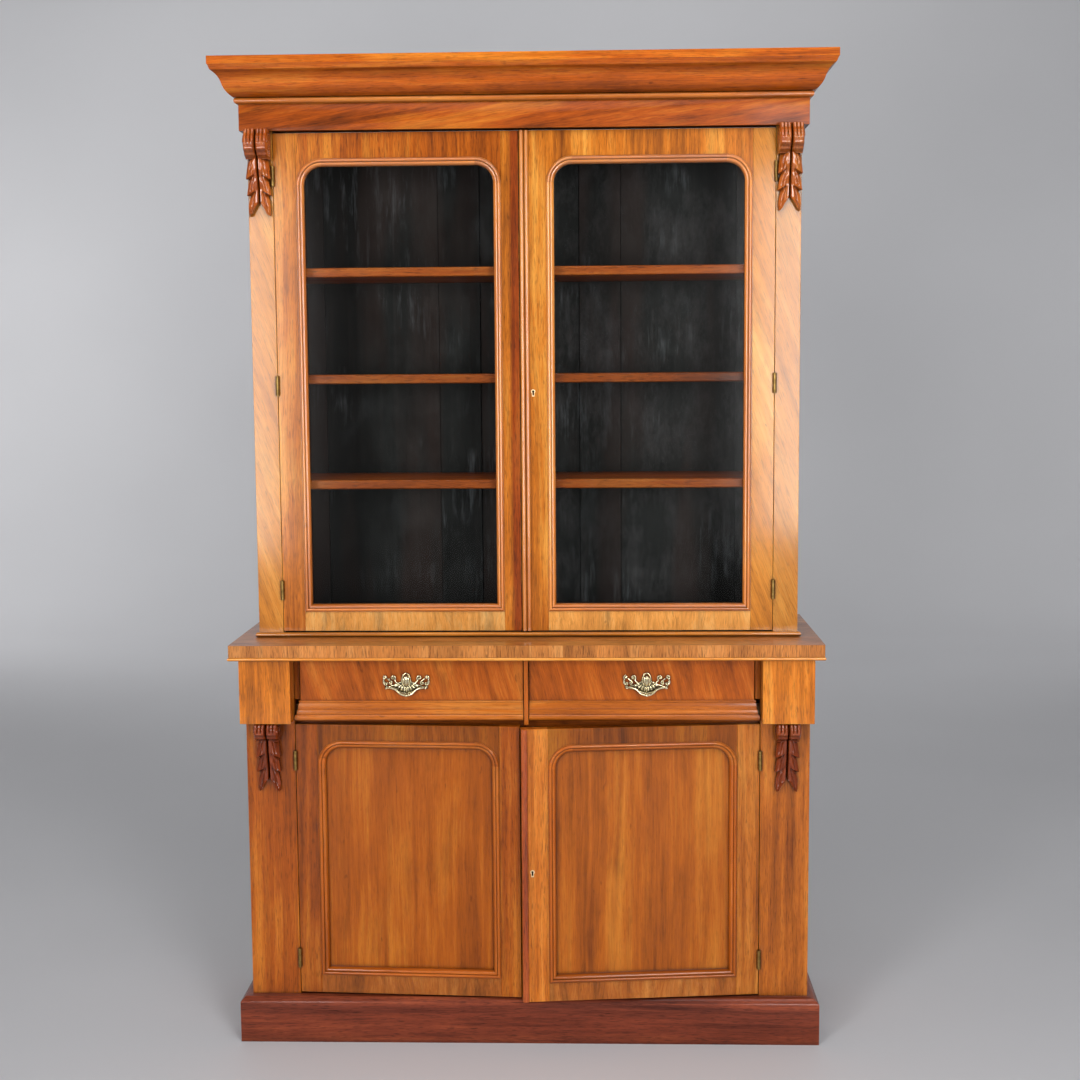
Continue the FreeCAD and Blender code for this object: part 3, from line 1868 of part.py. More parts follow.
def bail(name, side):
    """The swinging bail: two bends down to the middle from each end, and a pivot in each post head."""
    x = handle_centre * side
    y = lower_front - post_reach
    low = handle_height - bail_drop
    across = Rotation(Vector(0, 1, 0), 90)
    other_way = Rotation(Vector(0, 1, 0), 180)
    upper_centre = handle_height - bail_bend_radius
    lower_centre = low + bail_bend_radius
    pivot = post_head_radius * 1.6 + running_gap
    knot = doc.addObject("Part::Sphere", name + "Knot")
    bind(knot, "Radius", bail_knot_radius)
    put(knot, x, y, low, turn_z(90))
    parts = [
        bail_bend(name + "LowRight", x, y, lower_centre, no_turn),
        bail_bend(name + "LowLeft", x, y, lower_centre, turn_z(180)),
        bail_bend(name + "HighLeft", x - bail_half, y, upper_centre, other_way * turn_z(180)),
        bail_bend(name + "HighRight", x + bail_half, y, upper_centre, other_way),
        rod(name + "PivotLeft", bail_pivot_radius, pivot, x - bail_half - pivot, y, handle_height, across),
        rod(name + "PivotRight", bail_pivot_radius, pivot, x + bail_half, y, handle_height, across),
        knot,
    ]
    word = "left" if side < 0 else "right"
    return joined(f"{word}_drawer_handle_bail", parts)


def build():
    """Makes every sub-part and returns them."""
    nodes = [
        plinth(),
        base_sides(),
        base_bottom(),
        base_back_boards(),
        base_pilasters(),
        base_corbels(),
        drawer_blocks(),
        drawer_rail_and_runners(),
        drawer_divider(),
        cupboard_shelf(),
        shelf_battens(),
        waist_top(),
        upper_sides(),
        upper_bottom(),
        upper_top(),
        upper_back_frame(),
        upper_back_panels(),
        upper_pilasters(),
        upper_corbels(),
        bookshelves(),
        cornice_frieze(),
        cornice_moulding(),
        cornice_dust_board(),
        case_hinge_leaves(),
    ]
    upper_strike = strike_mortise(upper_left, upper_lock_height)
    lower_strike = strike_mortise(lower_left, lower_lock_height)
    upper_lock_cuts = [lock_mortise(upper_right, upper_lock_height)]
    upper_lock_cuts += keyhole_cuts(upper_right, upper_lock_height, upper_keyhole_inset)
    lower_lock_cuts = [lock_mortise(lower_right, lower_lock_height)]
    lower_lock_cuts += keyhole_cuts(lower_right, lower_lock_height, lower_keyhole_inset)
    for door, cuts in ((upper_left, [upper_strike]), (upper_right, upper_lock_cuts)):
        nodes.append(door_frame(door, upper_corner_radius, upper_pivot_x, upper_hinge_centres, cuts))
        nodes.append(door_moulding(door, upper_corner_radius, glass_thickness))
        sheet_of_glass = pane(door.title + "Pane", door, upper_corner_radius, glass_thickness)
        nodes.append(door.node("glass", [sheet_of_glass]))
        nodes.append(door_hinge_leaves(door))
    for door, cuts in ((lower_left, [lower_strike]), (lower_right, lower_lock_cuts)):
        nodes.append(door_frame(door, lower_corner_radius, lower_pivot_x, lower_hinge_centres, cuts))
        nodes.append(door_moulding(door, lower_corner_radius, lower_panel_thickness))
        panel = pane(door.title + "Panel", door, lower_corner_radius, lower_panel_thickness)
        nodes.append(door.node("panel", [panel]))
        nodes.append(door_hinge_leaves(door))
    nodes.append(astragal_strip())
    nodes.append(closing_bead_strip())
    nodes.append(lock(upper_right, upper_lock_height, upper_keyhole_inset))
    nodes.append(lock_bolt(upper_right, upper_lock_height))
    nodes.append(lock(lower_right, lower_lock_height, lower_keyhole_inset))
    nodes.append(lock_bolt(lower_right, lower_lock_height))
    nodes += door_bolts(upper_left, upper_bolt_x, upper_top_underside, upper_bottom_top)
    nodes += door_bolts(lower_left, lower_bolt_x, rail_underside, base_bottom_top)
    for name, side in (("LeftDrawer", -1), ("RightDrawer", 1)):
        nodes.append(drawer_front(name, side))
        nodes.append(drawer_box(name, side))
        nodes.append(handle_plate(name + "Handle", side))
        nodes.append(bail(name + "Bail", side))
    return nodes


nodes = build()
doc.recompute()

for piece in doc.Objects:
    if "Invalid" in piece.State or "Error" in piece.State:
        raise RuntimeError(f"{piece.Name} did not build: {piece.State}")
for node in nodes:
    if node.Shape.isNull() or not node.Shape.isValid():
        raise RuntimeError(f"{node.Label} has no valid shape")

os.makedirs("parts", exist_ok=True)
for node in nodes:
    node.Shape.exportStep(f"parts/{node.Label}.step")
print(len(nodes), "sub-parts written")
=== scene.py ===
import json
import math
import random

import bmesh
import bpy
from mathutils import Matrix, Vector

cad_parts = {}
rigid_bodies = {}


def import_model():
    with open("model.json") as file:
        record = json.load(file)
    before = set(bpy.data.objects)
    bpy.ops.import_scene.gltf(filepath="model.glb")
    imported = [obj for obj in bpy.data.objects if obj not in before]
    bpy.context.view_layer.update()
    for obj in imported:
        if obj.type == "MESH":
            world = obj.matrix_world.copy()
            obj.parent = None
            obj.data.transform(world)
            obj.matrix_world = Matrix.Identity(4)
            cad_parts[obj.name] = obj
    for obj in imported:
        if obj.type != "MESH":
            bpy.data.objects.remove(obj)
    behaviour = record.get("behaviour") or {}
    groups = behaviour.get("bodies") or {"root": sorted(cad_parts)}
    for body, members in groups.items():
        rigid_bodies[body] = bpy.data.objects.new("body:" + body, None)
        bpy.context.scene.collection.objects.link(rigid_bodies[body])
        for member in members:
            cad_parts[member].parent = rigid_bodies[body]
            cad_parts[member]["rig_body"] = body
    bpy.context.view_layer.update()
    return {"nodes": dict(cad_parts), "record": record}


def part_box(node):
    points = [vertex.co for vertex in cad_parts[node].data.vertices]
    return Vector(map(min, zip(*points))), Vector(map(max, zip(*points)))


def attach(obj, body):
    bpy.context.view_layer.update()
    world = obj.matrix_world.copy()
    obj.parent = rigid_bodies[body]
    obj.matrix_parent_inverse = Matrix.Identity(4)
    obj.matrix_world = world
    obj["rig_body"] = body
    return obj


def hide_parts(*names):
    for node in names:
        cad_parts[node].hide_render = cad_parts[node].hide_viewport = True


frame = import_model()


# Camera

def add_camera():
    """A camera at the photograph's place: slightly to the right of the middle, looking a little down."""
    pitch, yaw, roll = -0.1049, 0.033, -0.0072
    data = bpy.data.cameras.new("Camera")
    data.sensor_width = 36
    data.lens = 53.7
    camera = bpy.data.objects.new("Camera", data)
    camera.location = (0.157, -3.877, 1.589)
    tilt = Matrix.Rotation(math.pi / 2 + pitch, 4, "X")
    camera.rotation_euler = (Matrix.Rotation(yaw, 4, "Z") @ tilt @ Matrix.Rotation(roll, 4, "Z")).to_euler()
    bpy.context.collection.objects.link(camera)
    bpy.context.scene.camera = camera


# Materials

class Graph:
    """Builds the nodes of one material."""

    def __init__(self, name):
        self.material = bpy.data.materials.new(name)
        self.material.use_nodes = True
        self.tree = self.material.node_tree
        self.tree.nodes.clear()

    def node(self, kind, inputs, **settings):
        """A node of a kind, with values or sockets for its inputs."""
        node = self.tree.nodes.new("ShaderNode" + kind)
        for key, value in settings.items():
            setattr(node, key, value)
        for key, value in inputs.items():
            self.feed(node.inputs[key], value)
        return node

    def feed(self, socket, value):
        if isinstance(value, bpy.types.NodeSocket):
            self.tree.links.new(value, socket)
        else:
            socket.default_value = value

    def attribute(self, name, output="Vector"):
        return self.node("Attribute", {}, attribute_name=name).outputs[output]

    def place(self):
        """The place in the room, in metres."""
        return self.node("NewGeometry", {}).outputs["Position"]

    def stretch(self, vector, scale):
        return self.node("Mapping", {"Vector": vector, "Scale": scale}).outputs["Vector"]

    def turned(self, vector, degrees):
        """A vector turned about its third axis."""
        inputs = {"Vector": vector, "Rotation": (0, 0, math.radians(degrees))}
        return self.node("Mapping", inputs).outputs["Vector"]

    def noise(self, vector, scale, detail=2, roughness=0.5, output="Fac"):
        """Noise on a vector stretched by three scales."""
        inputs = {"Vector": self.stretch(vector, scale), "Scale": 1, "Detail": detail,
                  "Roughness": roughness}
        return self.node("TexNoise", inputs).outputs[output]

    def bend(self, vector, scale, amount):
        """A vector pushed about by slow noise, by up to an amount along each axis."""
        push = self.noise(vector, scale, 2, output="Color")
        push = self.node("VectorMath", {0: push, 1: (0.5, 0.5, 0.5)}, operation="SUBTRACT").outputs[0]
        push = self.node("VectorMath", {0: push, 1: amount}, operation="MULTIPLY").outputs[0]
        return self.node("VectorMath", {0: vector, 1: push}, operation="ADD").outputs[0]

    def ramp(self, value, *stops):
        """Greys or colours at places between 0 and 1."""
        node = self.node("ValToRGB", {"Fac": value})
        elements = node.color_ramp.elements
        while len(elements) < len(stops):
            elements.new(0.5)
        for element, (place, colour) in zip(elements, stops):
            element.position = place
            element.color = (*colour, 1) if isinstance(colour, tuple) else (colour, colour, colour, 1)
        return node.outputs["Color"]

    def mix(self, factor, first, second, blend="MIX"):
        node = self.node("Mix", {}, data_type="RGBA", blend_type=blend)
        for number, value in ((0, factor), (6, first), (7, second)):
            if isinstance(value, tuple) and len(value) == 3:
                value = (*value, 1)
            self.feed(node.inputs[number], value)
        return node.outputs[2]

    def math(self, operation, first, second=0.0, third=0.0):
        return self.node("Math", {0: first, 1: second, 2: third}, operation=operation).outputs[0]

    def bump(self, height, strength, distance, normal=None):
        inputs = {"Height": height, "Strength": strength, "Distance": distance}
        if normal:
            inputs["Normal"] = normal
        return self.node("Bump", inputs).outputs["Normal"]

    def painted_shade(self, colour):
        """Painted shade: darker in the corners where surfaces meet, within a few centimetres of overhanging
        parts, and on faces that point down.
        """
        for reach, darkest, end in ((0.009, 0.34, 0.78), (0.06, 0.7, 0.95)):
            corners = self.node("AmbientOcclusion", {"Distance": reach}, samples=3).outputs["AO"]
            colour = self.mix(1.0, colour, self.ramp(corners, (0.3, darkest), (end, 1.0)), "MULTIPLY")
        upward = self.node("SeparateXYZ", {0: self.node("NewGeometry", {}).outputs["Normal"]}).outputs[2]
        # painted shade on faces that point down, as under ledges
        ledge_shade = self.ramp(self.math("MULTIPLY_ADD", upward, 0.5, 0.5), (0.1, 0.5), (0.42, 1.0))
        return self.mix(1.0, colour, ledge_shade, "MULTIPLY")

    def banding(self, grain):
        """Grain turned upright on the edges, and a shade for each strip of veneer there."""
        split = self.node("SeparateXYZ", {0: grain}).outputs
        normal = self.node("SeparateXYZ", {0: self.node("NewGeometry", {}).outputs["True Normal"]}).outputs
        flat = self.math("GREATER_THAN", self.math("ABSOLUTE", normal[2]), 0.5)
        run = self.math("ADD", split[0], split[1])
        strips_per_metre = 13.0
        number = self.math("FLOOR", self.math("MULTIPLY", run, strips_per_metre))
        upright = self.node("CombineXYZ", {0: split[2], 1: run, 2: number}).outputs[0]
        turned = self.node("Mix", {0: flat, 4: upright, 5: grain}, data_type="VECTOR").outputs[1]
        shade = self.node("TexWhiteNoise", {"W": number}, noise_dimensions="1D").outputs["Value"]
        return turned, shade

    def finish(self, **sockets):
        """The material with one shader, whose sockets are named with _ for each space."""
        inputs = {key.replace("_", " "): value for key, value in sockets.items()}
        shader = self.node("BsdfPrincipled", inputs)
        output = self.node("OutputMaterial", {"Surface": shader.outputs[0]})
        output.is_active_output = True
        return self.material


def srgb(red, green, blue):
    """A colour written as 0 to 255 on screen, turned into the shader's values."""
    values = [value / 255 for value in (red, green, blue)]
    return tuple(((value + 0.055) / 1.055) ** 2.4 if value > 10 / 255 else value / 12.92
                 for value in values)


def wood(name, dark, middle, light, figure=1.0, burr=0.0, smoke=0.3, lean=0.0, gloss=0.3, coat=0.5,
         pores=0.6, banded=False, shaded=False, shine=0.12):
    """Polished wood. Its grain runs along X of the grain attribute, in metres.

    figure is the contrast of the grain, burr curls it, smoke adds dark clouds and lean turns the figure by
    so many degrees. gloss is the roughness, coat the share of varnish and shine the strength of its gleam.
    Banded wood shows short upright pieces of veneer side by side on its upright edges.
    Shaded wood goes dark and red towards the right side of its board: partly darker wood, partly a painted
    shadow such as an overlapping astragal casts.
    """
    g = Graph(name)
    grain = g.attribute("grain")
    tone = g.attribute("tone", "Fac")
    if banded:
        grain, tone = g.banding(grain)
    if lean:
        grain = g.turned(grain, lean)
    bent = g.bend(grain, (1.1, 5, 5), (0, 0.035 + burr * 0.03, 0.035 + burr * 0.03))
    if burr:
        bent = g.bend(bent, (9, 14, 14), (0.05 * burr, 0.035 * burr, 0.035 * burr))
    bands = g.noise(bent, (0.7 + burr * 6, 17, 17), 3, 0.55)
    streaks = g.noise(bent, (2.2 + burr * 9, 85, 85), 4, 0.6)
    fibre = g.noise(bent, (13 + burr * 40, 480, 480), 3, 0.6)
    clouds = g.noise(grain, (2.5, 7, 7), 3, 0.6)
    value = g.mix(0.45, bands, streaks)
    value = g.mix(0.22, value, fibre)
    value = g.mix(0.3, value, clouds)
    spread = 0.1 / figure
    colour = g.ramp(value, (0.5 - spread * 1.25, dark), (0.5, middle), (0.5 + spread * 1.1, light))
    rings = g.node("TexWave", {"Vector": g.stretch(bent, (0.1, 1, 1)), "Scale": 9, "Distortion": 6,
                               "Detail": 3, "Detail Scale": 1.5, "Detail Roughness": 0.6},
                   wave_type="RINGS", rings_direction="X", wave_profile="SIN").outputs["Fac"]
    lines = g.ramp(rings, (0.0, 0.62), (0.22, 1.0), (1.0, 1.0))
    colour = g.mix(0.4 * figure, colour, lines, "MULTIPLY")
    wisps = g.ramp(g.noise(bent, (5, 24, 24), 5, 0.68), (0.3, 0.5), (0.47, 1.0))
    colour = g.mix(smoke, colour, wisps, "MULTIPLY")
    pore = g.ramp(g.noise(bent, (40, 700, 700), 2, 0.5), (0.34, 0.3), (0.46, 1.0))
    colour = g.mix(pores, colour, pore, "MULTIPLY")
    flecks = g.ramp(g.noise(bent, (34, 300, 300), 1, 0.4), (0.3, 0.4), (0.38, 1.0))
    colour = g.mix(pores, colour, flecks, "MULTIPLY")
    knots = g.ramp(g.noise(grain, (22, 70, 70), 2, 0.6), (0.24, 0.3), (0.3, 1.0))
    colour = g.mix(0.5, colour, knots, "MULTIPLY")
    shade = g.ramp(tone, (0.0, 0.86), (1.0, 1.12))
    colour = g.mix(1.0, colour, shade, "MULTIPLY")
    # painted shadow, partly darker wood: dark and red towards the board's right side
    if shaded:
        side = g.ramp(g.attribute("side", "Fac"), (0.42, 1.0), (0.6, (0.55, 0.32, 0.22)))
        colour = g.mix(1.0, colour, side, "MULTIPLY")
    # painted shade in corners, near overhangs and under ledges
    colour = g.painted_shade(colour)
    edge = g.attribute("edge", "Fac")
    rub = g.ramp(g.noise(g.place(), (16, 16, 16), 4, 0.7), (0.4, 0.0), (0.62, 1.0))
    worn = g.math("MULTIPLY", edge, rub)
    colour = g.mix(g.math("MULTIPLY", worn, 0.7), colour, light)
    smudge = g.noise(g.place(), (6, 6, 5), 4, 0.65)
    rough = g.ramp(smudge, (0.3, gloss - 0.05), (0.7, gloss + 0.1))
    rough = g.mix(0.15, rough, fibre)
    waves = g.noise(grain, (3, 9, 9), 2, 0.5)
    relief = g.bump(waves, 0.15, 0.004)
    relief = g.bump(fibre, 0.06, 0.0006, relief)
    relief = g.bump(pore, 0.08, 0.0004, relief)
    return g.finish(Base_Color=colour, Roughness=rough, Normal=relief, IOR=1.5, Coat_Weight=coat,
                    Coat_Roughness=0.12, Coat_IOR=1.5, Specular_IOR_Level=shine)


def interior_paint():
    """Old black-brown stain on the boards inside, dusty and scuffed towards the right."""
    g = Graph("interior_stain")
    grain = g.attribute("grain")
    place = g.place()
    across = g.node("SeparateXYZ", {0: place}).outputs[0]
    dusty = g.ramp(g.math("ADD", across, 0.5), (0.3, 0.0), (0.6, 1.0), (0.9, 0.9))
    bent = g.bend(grain, (1, 6, 6), (0, 0.03, 0.03))
    streaks = g.noise(bent, (1.6, 70, 70), 4, 0.6)
    colour = g.ramp(streaks, (0.3, srgb(6, 4, 4)), (0.5, srgb(11, 9, 9)), (0.72, srgb(26, 21, 21)))
    dust = g.noise(place, (9, 9, 4), 6, 0.72)
    cover = g.math("MULTIPLY", g.ramp(dust, (0.46, 0.0), (0.74, 1.0)), dusty)
    colour = g.mix(cover, colour, srgb(88, 84, 86))
    scuffs = g.noise(place, (75, 75, 7), 4, 0.7)
    where = g.ramp(g.noise(place, (4.1, 4.1, 3.2), 4, 0.65), (0.5, 0.0), (0.62, 1.0))
    scuffs = g.math("MULTIPLY", g.ramp(scuffs, (0.5, 0.0), (0.72, 1.0)), where)
    colour = g.mix(g.math("MULTIPLY", scuffs, 0.6), colour, srgb(122, 124, 130))
    red = g.ramp(g.noise(grain, (1.1, 9, 9), 2, 0.5), (0.5, 0.0), (0.64, 0.6))
    colour = g.mix(red, colour, srgb(48, 27, 22))
    # painted shade in corners, near overhangs and under ledges
    colour = g.painted_shade(colour)
    rough = g.ramp(dust, (0.3, 0.42), (0.7, 0.75))
    relief = g.bump(streaks, 0.3, 0.0012)
    return g.finish(Base_Color=colour, Roughness=rough, Normal=relief, Specular_IOR_Level=0.25)


def pine():
    """Unpolished pine inside and behind, gone grey-brown with age."""
    g = Graph("pine")
    grain = g.attribute("grain")
    bent = g.bend(grain, (1.2, 4, 4), (0, 0.03, 0.03))
    rings = g.node("TexWave", {"Vector": g.stretch(bent, (0.08, 1, 1)), "Scale": 14, "Distortion": 4,
                               "Detail": 2},
                   wave_type="RINGS", rings_direction="X").outputs["Fac"]
    fibre = g.noise(bent, (9, 350, 350), 3, 0.6)
    colour = g.ramp(rings, (0.0, srgb(152, 110, 66)), (0.35, srgb(186, 146, 96)),
                    (1.0, srgb(204, 168, 118)))
    colour = g.mix(0.3, colour, g.ramp(fibre, (0.3, 0.55), (0.6, 1.0)), "MULTIPLY")
    dirt = g.noise(g.place(), (5, 5, 5), 5, 0.65)
    colour = g.mix(g.ramp(dirt, (0.48, 0.0), (0.72, 0.4)), colour, srgb(104, 80, 56))
    relief = g.bump(fibre, 0.3, 0.001)
    return g.finish(Base_Color=colour, Roughness=0.68, Normal=relief)


def brass(name, bright, recess, roughness):
    """Old lacquered brass, dark in its hollows: tarnish there, and painted shade."""
    g = Graph(name)
    place = g.place()
    tarnish = g.noise(place, (90, 90, 90), 4, 0.65)
    hollow_tarnish_and_shade = g.attribute("hollow_tarnish_and_shade", "Fac")
    colour = g.mix(g.ramp(tarnish, (0.35, 0.0), (0.7, 0.75)), bright, recess)
    # tarnish and painted shade in the hollows near the wood
    colour = g.mix(hollow_tarnish_and_shade, colour, srgb(34, 24, 12))
    rough = g.ramp(tarnish, (0.3, roughness), (0.7, roughness + 0.2))
    relief = g.bump(g.noise(place, (700, 700, 700), 3, 0.6), 0.15, 0.0003)
    return g.finish(Base_Color=colour, Metallic=1.0, Roughness=rough, Normal=relief)


def steel(name, bright, rusty):
    """Plain iron or steel with spots of rust."""
    g = Graph(name)
    place = g.place()
    rust = g.noise(place, (60, 60, 40), 5, 0.7)
    colour = g.mix(g.ramp(rust, (0.5, 0.0), (0.68, 0.8)), bright, rusty)
    rough = g.ramp(rust, (0.3, 0.32), (0.7, 0.7))
    return g.finish(Base_Color=colour, Metallic=0.9, Roughness=rough,
                    Normal=g.bump(rust, 0.2, 0.0004))


def glass():
    """Old window glass: clear, slightly wavy, with a few smears."""
    g = Graph("glass")
    place = g.place()
    ripple = g.noise(place, (5, 5, 3), 2, 0.4)
    smear = g.noise(g.bend(place, (3, 3, 3), (0.2, 0.2, 0.2)), (14, 14, 5), 5, 0.7)
    relief = g.bump(ripple, 0.06, 0.01)
    clear = g.node("BsdfTransparent", {"Color": (0.93, 0.95, 0.94, 1)})
    shine = g.node("BsdfGlossy", {"Color": (1, 1, 1, 1), "Roughness": 0.12, "Normal": relief})
    film = g.node("BsdfDiffuse", {"Color": (*srgb(150, 155, 160), 1)})
    fresnel = g.node("Fresnel", {"IOR": 1.16, "Normal": relief})
    clean = g.node("MixShader", {0: fresnel.outputs[0], 1: clear.outputs[0], 2: shine.outputs[0]})
    dust = g.ramp(smear, (0.56, 0.0), (0.82, 0.02))
    whole = g.node("MixShader", {0: dust, 1: clean.outputs[0], 2: film.outputs[0]})
    output = g.node("OutputMaterial", {"Surface": whole.outputs[0]})
    output.is_active_output = True
    return g.material


WOODS = (
    # key, name, the dark, middle and light colour on screen, and settings of wood()
    ("plain", "walnut", (104, 44, 6), (190, 94, 12), (226, 140, 44), dict()),
    ("golden", "walnut_golden", (122, 60, 10), (206, 115, 26), (238, 162, 66), dict(pores=0.5)),
    # painted shadow of the astragal, partly darker wood, for the left door's meeting stile
    ("shaded", "walnut_shaded", (122, 60, 10), (206, 115, 26), (238, 162, 66), dict(shaded=True)),
    ("pale", "walnut_pale", (146, 78, 20), (208, 130, 38), (236, 172, 80),
     dict(figure=0.6, lean=20, coat=0.55, pores=0.35)),
    ("even", "walnut_even", (124, 54, 10), (196, 104, 24), (226, 146, 62),
     dict(figure=0.7, smoke=0.1, coat=0.6, pores=0.3)),
    ("glossy", "walnut_glossy", (140, 64, 10), (214, 118, 26), (240, 158, 62),
     dict(figure=0.7, smoke=0.1, coat=1.0, pores=0.3, shine=0.7)),
    ("crown", "walnut_crown", (96, 38, 4), (196, 92, 12), (228, 138, 40),
     dict(smoke=0.5, coat=0.25, pores=0.45)),
    ("frieze", "walnut_frieze", (84, 34, 4), (174, 78, 9), (208, 118, 32),
     dict(burr=0.14, smoke=0.8, lean=-9, coat=0.1, pores=0.35)),
    ("low", "walnut_low", (90, 38, 4), (164, 78, 8), (198, 116, 32), dict(coat=0.28, pores=0.5)),
    # a lighter copy of the low walnut: painted light on the right-hand lower parts
    ("low_light", "walnut_low_painted_light", (112, 50, 10), (190, 102, 26), (220, 140, 54),
     dict(coat=0.28, pores=0.5)),
    ("low_even", "walnut_low_even", (112, 50, 6), (172, 86, 10), (202, 120, 32),
     dict(figure=0.85, smoke=0.5, coat=0.25, pores=0.25)),
    # a lighter copy of the even low walnut: painted light on the right lower door's panel
    ("low_fair", "walnut_low_even_painted_light", (116, 53, 7), (184, 95, 15), (212, 130, 40),
     dict(figure=0.85, smoke=0.6, coat=0.25, pores=0.25)),
    ("low_mould", "walnut_low_mould", (104, 46, 8), (184, 92, 20), (214, 128, 48),
     dict(figure=0.6, smoke=0.1, coat=0.5, pores=0.3)),
    ("bead", "walnut_bead", (150, 80, 16), (224, 136, 40), (246, 176, 84),
     dict(figure=0.7, smoke=0.1, coat=0.8, pores=0.3)),
    # a darker copy of the low walnut: painted shadow under the drawers, for the lower doors' top rails
    ("low_dark", "walnut_low_shadowed", (90, 40, 2), (150, 75, 6), (180, 106, 24), dict(coat=0.25, pores=0.4)),
    ("banded", "walnut_banded", (134, 74, 32), (200, 124, 58), (228, 160, 92),
     dict(figure=0.6, smoke=0.6, pores=0.8, banded=True)),
    ("burr", "walnut_burr", (156, 94, 34), (238, 164, 78), (252, 204, 128),
     dict(figure=0.7, burr=0.7, smoke=0.95, pores=0.3)),
    ("low_burr", "walnut_low_burr", (100, 50, 12), (166, 90, 28), (204, 130, 58),
     dict(figure=0.8, burr=0.7, smoke=0.9, coat=0.3, pores=0.3)),
    ("drawer", "walnut_drawer", (104, 44, 6), (184, 90, 17), (214, 128, 44),
     dict(figure=0.75, burr=0.3, smoke=0.9, lean=14, coat=0.3, pores=0.3)),
    ("carved", "carved_walnut", (80, 28, 8), (150, 62, 20), (188, 94, 40),
     dict(figure=0.6, gloss=0.16, coat=0.6)),
    ("carved_light", "carved_walnut_light", (110, 44, 8), (196, 92, 26), (226, 134, 54),
     dict(figure=0.6, gloss=0.16, coat=1.0)),
    ("mahogany", "mahogany", (72, 25, 12), (128, 57, 34), (168, 82, 47),
     dict(figure=0.9, gloss=0.34, coat=0.3)),
    ("shelf", "shelf_wood", (104, 42, 10), (196, 92, 26), (226, 132, 52),
     dict(figure=0.8, gloss=0.36, coat=0.3)),
)


def make_materials():
    """Every material by its key."""
    made = {}
    for key, name, dark, middle, light, settings in WOODS:
        made[key] = wood(name, srgb(*dark), srgb(*middle), srgb(*light), **settings)
    made["interior"] = interior_paint()
    made["pine"] = pine()
    made["brass"] = brass("brass", srgb(246, 236, 198), srgb(168, 148, 98), 0.13)
    made["hinge_brass"] = brass("hinge_brass", srgb(158, 128, 72), srgb(84, 62, 34), 0.34)
    made["lock_brass"] = brass("lock_brass", srgb(252, 230, 186), srgb(226, 188, 138), 0.34)
    made["iron"] = steel("lock_iron", srgb(9, 7, 6), srgb(18, 12, 9))
    made["steel"] = steel("bolt_steel", srgb(118, 112, 106), srgb(84, 56, 38))
    made["glass"] = glass()
    return made


# Boards from the frame

def separate_boards(mesh, last_first=False):
    """The separate solids of a mesh, each as a list of its faces, with flat faces still in triangles.

    They are numbered by their least corner: from left to right, then from front to back, then upwards.
    Those that share it keep the order of their faces, or the reverse of it with last_first.
    """
    whole = bmesh.new()
    whole.from_mesh(mesh)
    bmesh.ops.remove_doubles(whole, verts=whole.verts, dist=1e-5)
    faces = list(whole.faces)
    left = dict.fromkeys(faces[::-1] if last_first else faces)    # a fixed order gives every run the same boards
    boards = []
    while left:
        wave = [next(iter(left))]
        left.pop(wave[0])
        board = []
        while wave:
            face = wave.pop()
            board.append(face)
            for edge in face.edges:
                if len(edge.link_faces) != 2:
                    continue
                for other in edge.link_faces:
                    if other in left:
                        left.pop(other)
                        wave.append(other)
        if len(board) > 1:
            boards.append([[tuple(v.co) for v in face.verts] for face in board])
    whole.free()
    boards.sort(key=lambda board: min(corner for face in board for corner in face))
    return boards


def board_mesh(faces, bevel):
    """One solid as a bmesh with whole flat faces and its sharp edges eased. Eased faces are marked."""
    board = bmesh.new()
    seen = {}
    for face in faces:
        corners = [seen.get(c) or seen.setdefault(c, board.verts.new(c)) for c in face]
        if len(set(corners)) > 2:
            board.faces.new(corners)
    bmesh.ops.dissolve_limit(board, angle_limit=math.radians(1), verts=board.verts, edges=board.edges)
    marks = board.faces.layers.float.new("edge")
    sharp = []
    for edge in board.edges:
        if len(edge.link_faces) == 2 and edge.is_convex and edge.calc_face_angle() > math.radians(35):
            sharp.append(edge)
    if bevel and sharp:
        eased = bmesh.ops.bevel(board, geom=sharp, offset=bevel, segments=1, affect="EDGES",
                                clamp_overlap=True)
        for face in eased["faces"]:
            face[marks] = 1
    return board


def grain_axes(size, way):
    """The board's own axes in the order along, across and through the grain."""
    if way in ("X", "Y", "Z"):
        first = "XYZ".index(way)
    else:
        first = max(range(3), key=lambda axis: size[axis])
    rest = sorted((axis for axis in range(3) if axis != first), key=lambda axis: -size[axis])
    return [first] + rest


